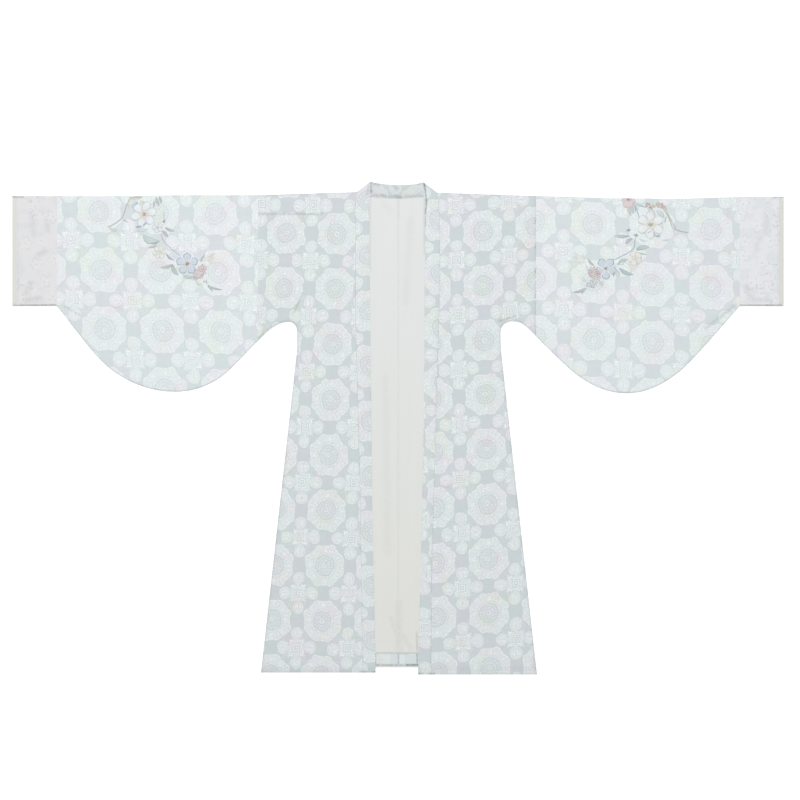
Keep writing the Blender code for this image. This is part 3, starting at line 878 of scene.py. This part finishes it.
liningShape = dict(
    pleat=0.0009, pleatReach=0.010, waves=0.8, stretch=(1.0, 0.35), calm=0.006,
    tuck=0.0030, tuckDrop=0.0004, tuckReach=0.0001,
)
facingShape = dict(dip=0.0004, dipReach=0.002, waves=0.5, calm=0.010)
bandShape = dict(edge=0.0009, roll=0.0030, full=0.0005, fullReach=0.008, waves=0.6, calm=0.006, wall=0.9)
cuffLiningShape = dict(edge=0.0005, roll=0.0020, waves=0.4)


def flatPiece(node, name, material, wall, lattice, shape, finish=None):
    # shape gives the height of each corner, and finish may touch up the sheet
    bm = nodeSheet(node, 1)
    segments = boundaryOf(bm)
    bmesh.ops.dissolve_faces(bm, faces=bm.faces[:], use_verts=False)
    cutGrid(bm)
    area = sum(face.calc_area() for face in bm.faces)
    points = pointsOf(bm)
    setHeights(bm, shape(points, segments))
    if finish:
        finish(bm)
    layPrint(bm, *lattice)
    declareSheet(asPiece(name, bm, wall, material), node, flatSize(node), area)


def liningPanel(half, material, seed):
    # lies loose on the back, its lower edge a soft fold over the hem facing
    node = "lining_" + half
    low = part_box(node)[0].y

    def shape(points, segments):
        pleat = liningShape["pleat"] * swell(points[:, 1] - low, liningShape["pleatReach"])
        ripples = waves(points * liningShape["stretch"], seed, liningShape["waves"])
        ripples = ripples * easeIn(np.abs(points[:, 0]), liningShape["calm"])
        return layers["liningTop"] + pleat + ripples + creaseHeights(points, flatCreases[node])

    def tuckHem(bm):
        for corner in bm.verts:
            if corner.co.y < low + liningShape["tuckReach"]:
                corner.co.y -= liningShape["tuck"]
                corner.co.z -= liningShape["tuckDrop"]

    flatPiece(node, "lining" + half.title(), material, layers["liningWall"],
              (printPatterns["front_" + half],), shape, tuckHem)


def facingStrip(half, material, seed):
    def shape(points, segments):
        fromSeam = np.abs(points[:, 0])
        dip = -facingShape["dip"] * swell(fromSeam, facingShape["dipReach"])
        ripples = waves(points, seed, facingShape["waves"]) * easeIn(fromSeam, facingShape["calm"])
        return layers["liningTop"] + dip + ripples

    lattice = printPatterns["front_" + half], drape["facingFold"]
    flatPiece("back_hem_facing_" + half, "hemFacing" + half.title(), material, layers["liningWall"],
              lattice, shape)


def bandPiece(node, name, material, pattern, top, seed):
    # cloth folded double, so soft at its edges and a little full
    front = node != "collar_back"

    def shape(points, segments):
        fromEdge = distancesTo(points, segments)
        soft = bandShape["full"] * easeIn(fromEdge, bandShape["fullReach"])
        soft -= bandShape["edge"] * (1 - rollOver(fromEdge, bandShape["roll"]))
        lively = waves(points, seed, bandShape["waves"]) * easeIn(fromEdge, bandShape["calm"])
        heights = top + soft + lively + creaseHeights(points, flatCreases[node])
        settleTo = (layers["bandWall"] + layers["rest"]) / top
        return heights * (1 - settle(points[:, 1]) * (1 - settleTo)) if front else heights

    def shadeHem(bm):
        rise = pointsOf(bm)[:, 1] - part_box(node)[0].y
        markEdges(bm, np.full(len(rise), 1.0), rise)

    flatPiece(node, name, material, layers["bandWall"] * bandShape["wall"], (pattern,),
              shape, shadeHem if front else None)


def cuffLining(half, material, seed):
    def shape(points, segments):
        rolled = rollOver(distancesTo(points, segments), cuffLiningShape["roll"])
        soft = cuffLiningShape["edge"] * (rolled - 1)
        return layers["liningTop"] + soft + waves(points, seed, cuffLiningShape["waves"])

    flatPiece("cuff_lining_" + half, "cuffLining" + half.title(), material, layers["liningWall"],
              (printPatterns["sleeve_" + half],), shape)


# embroidery in silk satin stitch, in millimetres from the robe's own origin

threads = dict(
    bark=(186, 178, 168), tan=(204, 186, 168), teal=(172, 196, 200), deepTeal=(150, 176, 184),
    navy=(146, 164, 200), sky=(190, 205, 221), blue=(160, 180, 204), ice=(212, 222, 229),
    amber=(230, 213, 182), rust=(184, 156, 132), lemon=(236, 237, 224), gold=(229, 226, 204),
    lilac=(226, 230, 235), white=(233, 238, 241), violet=(208, 210, 227), plum=(170, 173, 184),
    coral=(228, 188, 192), rose=(236, 212, 210), crimson=(150, 96, 90), leaf=(180, 196, 188),
    moss=(156, 173, 166), sage=(190, 205, 198), mint=(202, 219, 213), grey=(176, 185, 191),
    cream=(234, 234, 227), peach=(228, 225, 218), charcoal=(150, 157, 168), olive=(172, 178, 158),
    shade=(221, 226, 230),
)

# each leaf or stroke: start, end, width, bow, thread at the root and at the tip
leafRows = dict(
    left=[
        (-640, 528, -625, 543, 7, 2, "mint", "sky"), (-634, 533, -624, 544, 4, -1, "blue", "navy"),
        (-586, 547, -587, 526, 3, 1, "navy", "blue"), (-580, 555, -572, 533, 8, -2, "leaf", "olive"),
        (-573, 556, -568, 538, 6, 1, "moss", "leaf"), (-630, 482, -613, 486, 5.5, -1, "navy", "blue"),
        (-613, 486, -602, 493, 4.5, 1, "navy", "blue"), (-628, 475, -600, 478, 9, -2, "mint", "ice"),
        (-559, 481, -535, 473, 7, -2, "moss", "sage"), (-613, 464, -574, 450, 17, -8, "teal", "sage"),
        (-613, 465, -589, 446, 5, -4, "amber", "rust"), (-596, 445, -571, 450, 5, -4, "moss", "deepTeal"),
        (-567, 473, -552, 457, 8, 2, "plum", "grey"), (-600, 434, -577, 440, 5, -2, "sage", "leaf"),
        (-556, 419, -535, 403, 6, -4, "charcoal", "grey"), (-549, 419, -532, 405, 7, 2, "white", "ice"),
        (-539, 393, -571, 386, 8, 3, "moss", "sage"), (-541, 392, -526, 366, 11, -4, "moss", "leaf"),
        (-530, 392, -524, 371, 5, -2, "cream", "lemon"), (-515, 365, -491, 362, 8, -2, "sage", "leaf"),
        (-475, 399, -464, 418, 5, -1, "moss", "leaf"), (-468, 398, -463, 411, 8, 1, "cream", "peach"),
        (-461, 407, -438, 419, 6, 2, "lemon", "gold"), (-462, 404, -440, 406, 5, -2, "cream", "lemon"),
        (-456, 400, -444, 396, 4, -1, "lemon", "cream"), (-470, 356, -456, 344, 2.4, 1, "sage", "moss"),
        (-457, 344, -444, 326, 6, 1, "charcoal", "sage"), (-454, 342, -420, 332, 5, -3, "grey", "deepTeal"),
        (-486, 352, -468, 345, 7, -2, "mint", "lemon"), (-645, 553, -632, 548, 5, 1, "tan", "amber"),
        (-661, 500, -648, 493, 3, 1, "tan", "bark"), (-694, 481, -672, 474, 8, -2, "ice", "sky"),
    ],
    right=[
        (551, 537, 560, 509, 6.5, -2, "rose", "grey"), (557, 537, 564, 514, 8, 1, "grey", "sage"),
        (571, 536, 581, 504, 3.2, -2, "sky", "blue"), (566, 540, 570, 518, 3, 1, "leaf", "moss"),
        (569, 542, 590, 532, 6, -2, "mint", "teal"), (575, 537, 598, 530, 4, -1, "teal", "sky"),
        (619, 522, 640, 504, 11, 2, "ice", "sage"), (645, 508, 640, 491, 3, -1, "leaf", "moss"),
        (598, 466, 611, 474, 4.5, 1, "navy", "blue"), (610, 472, 618, 459, 4.5, 1, "violet", "navy"),
        (618, 460, 631, 463, 5.5, -1, "navy", "teal"), (578, 456, 597, 449, 4, -3, "violet", "lilac"),
        (632, 452, 656, 455, 4, -3, "violet", "lilac"), (655, 490, 662, 470, 6, 2, "violet", "lilac"),
        (519, 462, 556, 461, 8.5, -2, "sage", "deepTeal"), (546, 441, 563, 454, 9, 3, "grey", "plum"),
        (571, 427, 604, 434, 11.5, 3, "moss", "sage"), (575, 422, 598, 416, 3, -1, "leaf", "deepTeal"),
        (527, 392, 552, 404, 9.5, 3, "deepTeal", "sage"), (531, 395, 544, 398, 9, -1, "white", "mint"),
        (530, 384, 566, 368, 10, -4, "deepTeal", "grey"), (522, 380, 526, 360, 11, 3, "grey", "cream"),
        (519, 378, 518, 362, 5, -1, "olive", "bark"), (471, 389, 455, 408, 6, 2, "moss", "leaf"),
        (450, 399, 424, 422, 12, 3, "cream", "peach"), (447, 396, 420, 400, 8, -3, "lemon", "cream"),
        (449, 401, 442, 421, 4, 1, "peach", "lemon"), (452, 336, 419, 326, 7, 3, "plum", "grey"),
        (453, 335, 440, 320, 5, -2, "sage", "moss"), (482, 352, 492, 338, 8, 2, "sage", "mint"),
        (452, 352, 440, 362, 7, 2, "mint", "lemon"), (630, 538, 648, 524, 4, 1, "tan", "amber"),
    ],
)

# each stem: width, thread, points
stemRows = dict(
    left=[
        (2.6, "bark", ((-612, 554), (-640, 553), (-649, 539), (-656, 520), (-663, 503), (-683, 488),
                       (-698, 482))),
        (1.6, "amber", ((-616, 551), (-636, 549), (-645, 538), (-648, 525))),
        (2, "grey", ((-568, 468), (-565, 452), (-552, 437), (-540, 427), (-524, 414))),
        (1.4, "plum", ((-561, 519), (-562, 508), (-560, 497))),
    ],
    right=[
        (2.8, "bark", ((634, 530), (645, 514), (653, 497), (660, 481), (677, 472), (698, 469))),
        (1.6, "olive", ((640, 530), (650, 510), (659, 492), (668, 480))),
        (2.1, "deepTeal", ((568, 451), (567, 433), (553, 421), (532, 410), (514, 402))),
        (1.4, "plum", ((571, 463), (569, 452), (567, 440))),
    ],
)

# each flower: centre, reach, petals, petal width, turn, root, tip, outline, heart, heart reach
flowerRows = dict(
    left=[
        ((-610, 513), 31, 6, 21, 0.25, "lilac", "white", "shade", "amber", 17),
        ((-577, 481), 13, 5, 11, 0.6, "lilac", "white", "violet", "plum", 3.5),
        ((-506, 394), 26, 5, 18, 0.32, "ice", "sky", "navy", "rose", 11),
        ((-573, 421), 16, 6, 11, 0.1, "cream", "lemon", "gold", "lemon", 4),
    ],
    right=[
        ((606, 488), 33, 6, 22, 0.5, "cream", "white", "shade", "gold", 17),
        ((499, 383), 26, 5, 18, 0.95, "ice", "sky", "navy", "amber", 8),
        ((569, 407), 17, 5, 16, 0.7, "peach", "lemon", "rose", "cream", 4),
        ((608, 517), 9, 5, 8, 0.4, "white", "mint", "leaf", "mint", 2),
        ((553, 543), 16, 5, 13, 0.2, "rose", "coral", "plum", "coral", 4),
    ],
)

# each group of knots: centre, half sizes, tilt, count, knot radius, threads in turn
knotRows = dict(
    left=[
        ((-610, 513), (5, 5), 0, 9, 1.8, ("rust", "amber", "rust")),
        ((-614, 541), (7, 5), 0.3, 7, 1.5, ("amber", "peach", "coral")),
        ((-561, 496), (3, 3.5), 0, 5, 1.9, ("plum", "grey")),
        ((-506, 394), (4, 4), 0, 9, 1.9, ("crimson", "rust")),
        ((-475, 374), (22, 13), 0.85, 52, 2.2, ("coral", "rose", "white", "coral", "rose")),
        ((-461, 352), (6, 5), 0.2, 6, 1.2, ("charcoal", "sage")),
        ((-573, 421), (9, 6), 0, 10, 1.4, ("gold", "white", "lemon")),
        ((-448, 409), (8, 4), 0.4, 7, 1.3, ("gold", "lemon")),
    ],
    right=[
        ((606, 488), (6, 4.5), 0.1, 10, 1.8, ("bark", "tan", "rust")),
        ((604, 533), (13, 7), -0.1, 16, 2.3, ("coral", "amber", "rust", "lemon")),
        ((629, 534), (12, 7), -0.3, 15, 2.3, ("amber", "coral", "gold", "tan")),
        ((553, 475), (4, 3), 0.3, 6, 1.8, ("charcoal", "grey")),
        ((571, 463), (4.5, 3.5), 0, 6, 1.8, ("grey", "plum")),
        ((499, 383), (3, 3), 0, 5, 1.7, ("crimson", "charcoal")),
        ((471, 371), (20, 13), -0.75, 50, 2.2, ("coral", "rose", "white", "rose")),
        ((465, 346), (14, 10), 0.2, 26, 2, ("white", "mint", "white", "sage")),
        ((453, 386), (3, 3), 0, 3, 1.3, ("coral", "rose")),
        ((578, 400), (10, 5), 0.3, 8, 1.2, ("gold", "rose")),
    ],
)
silk = dict(
    lift=0.00015, petalRise=0.0004, strokeRise=0.0005, wall=0.0003, strands=11,
    pale=0.30, paleTo=(224, 231, 233),
    petalFullness=1.6, strokeFullness=0.85, blunt=0.75, domeSpan=0.92,
    knotRise=0.7, knotLift=0.6, knotTurn=2.4, above=0.1, foldSteps=(0, 0.001, 0.004, 0.010, 0.020),
    ridge=0.00006, fuzz=0.00004, ridgeShade=0.06, fuzzTone=0.14, tone=0.87,
)
flowerShape = dict(
    root=0.08, outlineGrow=1.08, outlineReach=1.05, outlineRise=0.5, streak=1.3, streakRise=1.3,
    streakFrom=0.35, streakTo=0.80, streakLeans=(-0.22, 0.0, 0.22),
    heartStrokes=14, heartShort=0.25, heartWidth=0.34, heartRise=1.6,
)


def silkThread():
    # glossy thread in the stitches' own colours, ribbed along each petal, with painted shade in the grooves
    # between strands
    material, start, shader = newMaterial("silkThread", 0.42, 0.15)
    shader.inputs["Specular IOR Level"].default_value = 0.4
    colour = start.node("ShaderNodeVertexColor", {"layer_name": "Thread"})
    along = start.node("ShaderNodeUVMap", {"uv_map": "UVMap"})
    place = start.place()
    strands = along.part(1).wave(2 * pi * silk["strands"])
    height = strands * silk["ridge"] + place.noise(1500, 2) * silk["fuzz"]
    # painted shade: darker in the grooves between strands and lighter on their ribs; the fuzz tone is
    # uneven at random
    shade = strands * silk["ridgeShade"] + place.noise(700, 2) * silk["fuzzTone"] + silk["tone"]
    shade = start.node("ShaderNodeCombineXYZ", None, dict.fromkeys(range(3), shade))
    feed(shader, "Base Color", colour.tint(shade))
    feed(shader, "Normal", height.bump())
    return material


def takeMesh(thing):
    # keep a modelled primitive's mesh, and drop its object
    mesh = thing.data
    bpy.data.objects.remove(thing)
    return mesh


def petalTemplate(fullness):
    # pointed oval, 1 long and 1 wide, domed; the fuller, the broader its tip
    bpy.ops.mesh.primitive_grid_add(x_subdivisions=9, y_subdivisions=5, size=1)
    mesh = takeMesh(bpy.context.object)
    for corner in mesh.vertices:
        along, side = corner.co.x + 0.5, corner.co.y
        breadth = max(sin(pi * along ** fullness), 0) ** silk["blunt"]
        dome = cos(pi * side * silk["domeSpan"]) * breadth ** 0.5
        corner.co = (along, side * breadth, dome)
    return mesh


def knotTemplate():
    bpy.ops.mesh.primitive_ico_sphere_add(subdivisions=1, radius=1)
    return takeMesh(bpy.context.object)


def threadColour(name):
    own, pale = (np.array(screenColour(*shade)) for shade in (threads[name], silk["paleTo"]))
    return own * (1 - silk["pale"]) + pale * silk["pale"]


class Surface:
    # a piece's upper face, to lay stitches on
    def __init__(self, piece):
        self.tree = BVHTree.FromObject(piece, bpy.context.evaluated_depsgraph_get())

    def find(self, x, y):
        return self.tree.ray_cast(Vector((x, y, silk["above"])), Vector((0, 0, -1)))[0]

    def lay(self, x, y):
        # a stitch that runs past the fold ends on it
        for back in silk["foldSteps"]:
            hit = self.find(x, y - back)
            if hit:
                return hit
        return Vector((x, y, layers["seam"]))


def stitchCopy(template, places, colours=None):
    mesh = template.copy()
    mesh.vertices.foreach_set("co", np.array(places, np.float32).ravel())
    if colours is not None:
        layer = mesh.color_attributes.new("Thread", "FLOAT_COLOR", "POINT")
        layer.data.foreach_set("color", np.array(colours, np.float32).ravel())
    return linked("stitch", mesh)


def satinLeaf(template, surface, start, end, width, bow, root, tip, rise):
    start, end = np.array(start) / 1000, np.array(end) / 1000
    across = np.array((start[1] - end[1], end[0] - start[0])) / np.linalg.norm(end - start)
    places, colours = [], []
    for corner in template.vertices:
        along, side, dome = corner.co
        aside = (side * width + bow * 4 * along * (1 - along)) / 1000
        flat = start + (end - start) * along + across * aside
        hit = surface.lay(*flat)
        places.append((hit.x, hit.y, hit.z + silk["lift"] + max(dome, 0) * rise))
        colours.append(threadColour(root) * (1 - along) + threadColour(tip) * along)
    return stitchCopy(template, places, colours)


def joined(things, name):
    bpy.ops.object.select_all(action="DESELECT")
    for thing in things:
        thing.select_set(True)
    bpy.context.view_layer.objects.active = things[0]
    bpy.ops.object.join()
    things[0].name = name
    return things[0]


def threadPiece(things, name, material):
    piece = joined(things, name)
    piece.data.materials.clear()
    piece.data.materials.append(material)
    bpy.ops.object.shade_smooth()
    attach(piece, "root")
    print(f"{piece.name}: {len(piece.data.polygons)} faces")


def smoothRoute(points, steps):
    # evenly stepped points on a curve through the given ones
    points = np.array(points, float)
    knots = np.arange(len(points))
    at = np.linspace(0, len(points) - 1, steps * (len(points) - 1) + 1)
    return np.stack([smoothThrough(knots, points[:, axis], at) for axis in (0, 1)], 1)


def satinFlower(petal, stroke, surface, centre, reach, count, width, turn,
                root, tip, outline, heart, heartReach):
    made, centre, rise = [], np.array(centre), silk["petalRise"]
    for number in range(count):
        angle = turn + 2 * pi * number / count
        way, side = np.array((cos(angle), sin(angle))), np.array((-sin(angle), cos(angle)))
        start = centre + way * reach * flowerShape["root"]
        end = centre + way * reach * flowerShape["outlineReach"]
        made.append(satinLeaf(petal, surface, start, end, width * flowerShape["outlineGrow"], 0,
                              root, outline, silk["strokeRise"] * flowerShape["outlineRise"]))
        made.append(satinLeaf(petal, surface, start, centre + way * reach, width, 0, root, tip, rise))
        for lean in flowerShape["streakLeans"]:
            near = centre + way * reach * flowerShape["streakFrom"]
            far = centre + way * reach * flowerShape["streakTo"] + side * lean * width
            made.append(satinLeaf(stroke, surface, near, far, flowerShape["streak"], 0,
                                  tip, outline, rise * flowerShape["streakRise"]))
    for number in range(flowerShape["heartStrokes"]):
        angle = turn + 2 * pi * number / flowerShape["heartStrokes"]
        length = heartReach * (1.0 - flowerShape["heartShort"] * (number % 2))
        end = centre + np.array((cos(angle), sin(angle))) * length
        made.append(satinLeaf(stroke, surface, centre, end, heartReach * flowerShape["heartWidth"], 0,
                              heart, root, rise * flowerShape["heartRise"]))
    return made


def knotGroup(template, surface, centre, size, tilt, count, radius, names):
    # small round knots, spread evenly over an oval
    made = []
    for number in range(count):
        out, angle = ((number + 0.5) / count) ** 0.5, silk["knotTurn"] * number
        x, y = out * size[0] * cos(angle), out * size[1] * sin(angle)
        x, y = x * cos(tilt) - y * sin(tilt), x * sin(tilt) + y * cos(tilt)
        hit = surface.lay((centre[0] + x) / 1000, (centre[1] + y) / 1000)
        spots = [corner.co.copy() for corner in template.vertices]
        for spot in spots:
            spot.z = (spot.z + silk["knotLift"]) * silk["knotRise"]
        colour = threadColour(names[number % len(names)])
        places = [hit + spot * radius / 1000 for spot in spots]
        made.append(stitchCopy(template, places, [colour] * len(places)))
    return made


def embroidery(half, sleeve, material):
    surface = Surface(sleeve)
    petal, stroke = petalTemplate(silk["petalFullness"]), petalTemplate(silk["strokeFullness"])
    knot = knotTemplate()
    flat = []
    for row in flowerRows[half]:
        flat += satinFlower(petal, stroke, surface, *row)
    for row in leafRows[half]:
        flat.append(satinLeaf(stroke, surface, row[:2], row[2:4], *row[4:], silk["strokeRise"]))
    for width, colour, points in stemRows[half]:
        route = smoothRoute(points, 3)
        flat += [satinLeaf(stroke, surface, start, end, width, 0, colour, colour, silk["strokeRise"])
                 for start, end in zip(route, route[2:])]
    piece = joined(flat, "embroidery" + half.title())
    addWall(piece, silk["wall"])
    knots = [piece]
    for row in knotRows[half]:
        knots += knotGroup(knot, surface, *row)
    threadPiece(knots, piece.name, material)


# hand stitches: the ends of each row, in metres or by the name of a seam

stitchRows = dict(
    front=[((0.100, "hem"), (0.340, "hem")), (("arm", 0.300), ("arm", 0.560))],
    sleeve=[(("cuff", 0.180), ("cuff", 0.560))],
    cuff=[(("mouth", 0.285), ("mouth", 0.565))],
)
stitching = dict(
    length=0.0026, pitch=0.0052, radius=0.00024, proud=0.3, hem=0.011, inset=0.0035,
    twist=0.0007, ridge=0.00003, dark=screenColour(222, 227, 228), light=screenColour(234, 238, 238),
)


def sewingThread():
    material, start, shader = newMaterial("sewingThread", 0.6, 0.1)
    place = start.place()
    twist = (place.part(0) + place.part(1)).wave(2 * pi / stitching["twist"])
    feed(shader, "Base Color", place.noise(900, 1).blend(stitching["dark"], stitching["light"]))
    feed(shader, "Normal", (twist * stitching["ridge"]).bump())
    return material


def stitchTemplate():
    bpy.ops.mesh.primitive_uv_sphere_add(segments=6, ring_count=5, radius=0.5)
    return takeMesh(bpy.context.object)


def sewRow(template, surface, start, end):
    # stitches lie half sunk in the cloth, with a gap between one and the next
    start, end = np.array(start), np.array(end)
    length = np.linalg.norm(end - start)
    along = (end - start) / length
    side, thick = Vector((-along[1], along[0], 0)), 2 * stitching["radius"]
    made = []
    for place in np.arange(0, length - stitching["length"], stitching["pitch"]):
        near = surface.find(*(start + along * place))
        far = surface.find(*(start + along * (place + stitching["length"])))
        if near is None or far is None:
            continue
        places = []
        for across, up, on in (corner.co for corner in template.vertices):
            lifted = Vector((0, 0, (up + stitching["proud"]) * thick))
            places.append(near + (far - near) * (on + 0.5) + side * across * thick + lifted)
        made.append(stitchCopy(template, places))
    return made


def reachOf(node):
    return max(abs(corner.x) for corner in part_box(node))


def sewing(half, pieces, material):
    sign, inset = -1 if half == "left" else 1, stitching["inset"]
    named = dict(
        hem=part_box("front_" + half)[0].y + stitching["hem"],
        arm=sign * (reachOf("front_" + half) - inset),
        cuff=sign * (reachOf("sleeve_" + half) - inset),
        mouth=sign * (reachOf("cuff_" + half) - tubeSizes["cuffSetback"] - inset),
    )
    template, made = stitchTemplate(), []
    for kind, rows in stitchRows.items():
        surface = Surface(pieces[kind])
        for row in rows:
            ends = [(named.get(x, x) if isinstance(x, str) else sign * x, named.get(y, y)) for x, y in row]
            made += sewRow(template, surface, *ends)
    threadPiece(made, "stitches" + half.title(), material)


# camera, light and floor

view = dict(centre=(0.0048, 0.0672), width=1.92, lens=100, sensor=36)
studio = dict(
    sky=0.485, key=140.0, keyPlace=(-0.5, 2.4, 5.0), keySize=1.5,
    top=84.0, topPlace=(0.2, -0.9, 7.0), topSize=3.0,
    paperSize=12, paperDrop=0.0002, paperGlow=0.20,
    paperTones=((0.93, 0.93, 0.93, 1), (0.97, 0.97, 0.97, 1)),
)


def setCamera():
    data = bpy.data.cameras.new("camera")
    data.lens, data.sensor_width = view["lens"], view["sensor"]
    camera = linked("camera", data)
    height = view["width"] * view["lens"] / view["sensor"] + layers["frontTop"]
    camera.location = (*view["centre"], height)
    bpy.context.scene.camera = camera


def areaLight(name):
    data = bpy.data.lights.new(name, "AREA")
    data.energy, data.size = studio[name], studio[name + "Size"]
    light = linked(name, data)
    light.location = studio[name + "Place"]
    light.rotation_euler = (-light.location).to_track_quat("-Z", "Y").to_euler()


def setStudio():
    bpy.context.scene.view_settings.view_transform = "Standard"
    world = bpy.data.worlds.new("studio")
    bpy.context.scene.world = world
    world.use_nodes = True
    sky = world.node_tree.nodes["Background"]
    sky.inputs["Color"].default_value = (1, 1, 1, 1)
    sky.inputs["Strength"].default_value = studio["sky"]
    areaLight("key")
    areaLight("top")
    bpy.ops.mesh.primitive_plane_add(size=studio["paperSize"], location=(0, 0, -studio["paperDrop"]))
    floor = bpy.context.object
    floor.name = "floor"
    bpy.ops.object.transform_apply()
    paper, start, shader = newMaterial("paper", 0.9, 0.0)
    feed(shader, "Base Color", start.place().noise(300, 2).blend(*studio["paperTones"]))
    shader.inputs["Emission Color"].default_value = (1, 1, 1, 1)
    shader.inputs["Emission Strength"].default_value = studio["paperGlow"]
    floor.data.materials.append(paper)


setCamera()
setStudio()
# brightness and contrast of each printed cloth, painted shade tint of each cuff, low and high colour of
# each lining
printLooks = dict(
    bodyPrint=(0.93, 1.12), sleevePrint=(0.995, 0.92), neckPrint=(0.87, 0.85), facingPrint=(0.98, 0.50),
)
# the left cuff is painted darker and warmer than the right: painted shade that cancels the stronger light
# from the left
cuffShadeTints = dict(left=(0.950, 0.948, 0.935, 1), right=(0.985, 1.0, 1.0, 1))
# the mouth strips are the lining's cream painted darker: painted shade under the cuffs
liningTones = dict(
    liningCloth=((221, 222, 217), (220, 222, 221)), mouthStripShaded=((217, 217, 212), (217, 217, 212)),
)
plainPattern = dict(rosette=(0, 0), across=(0.1, 0), down=(0, -0.1))
seeds = dict(
    back=3.1, lining=5.2, facing=7.3, front=11.4, sleeve=13.5, cuff=17.6, cuffLining=19.7,
    band=23.8, neck=29.9,
)

prints = {name: printedCloth(name, *look) for name, look in printLooks.items()}
silkColours = silkThread()
paleThread = sewingThread()
cuffs = {half: cuffCloth("cuff" + half.title(), cast) for half, cast in cuffShadeTints.items()}
linings = {name: liningCloth(name, screenColour(*low), screenColour(*high))
           for name, (low, high) in liningTones.items()}
print("materials made")
for number, half in enumerate(("left", "right")):
    backPanel(half, prints["bodyPrint"], seeds["back"] + number)
    liningPanel(half, linings["liningCloth"], seeds["lining"] + number)
    facingStrip(half, prints["facingPrint"], seeds["facing"] + number)
    front = frontPanel(half, prints["bodyPrint"], seeds["front"] + number)
    sleeve = tubePiece("sleeve", half, prints["sleevePrint"], printPatterns["sleeve_" + half],
                       seeds["sleeve"] + number)
    embroidery(half, sleeve, silkColours)
    cuff = tubePiece("cuff", half, cuffs[half], plainPattern, seeds["cuff"] + number,
                     tubeSizes["cuffSetback"])
    sewing(half, dict(front=front, sleeve=sleeve, cuff=cuff), paleThread)
    cuffLining(half, linings["mouthStripShaded"], seeds["cuffLining"] + number)
    bandPiece("collar_" + half, "band" + half.title(), prints["bodyPrint"], printPatterns["collar_" + half],
              layers["bandTop"], seeds["band"] + number)
bandPiece("collar_back", "bandBack", prints["neckPrint"], printPatterns["collar_left"],
          layers["bandWall"], seeds["neck"])
print("cloth laid")
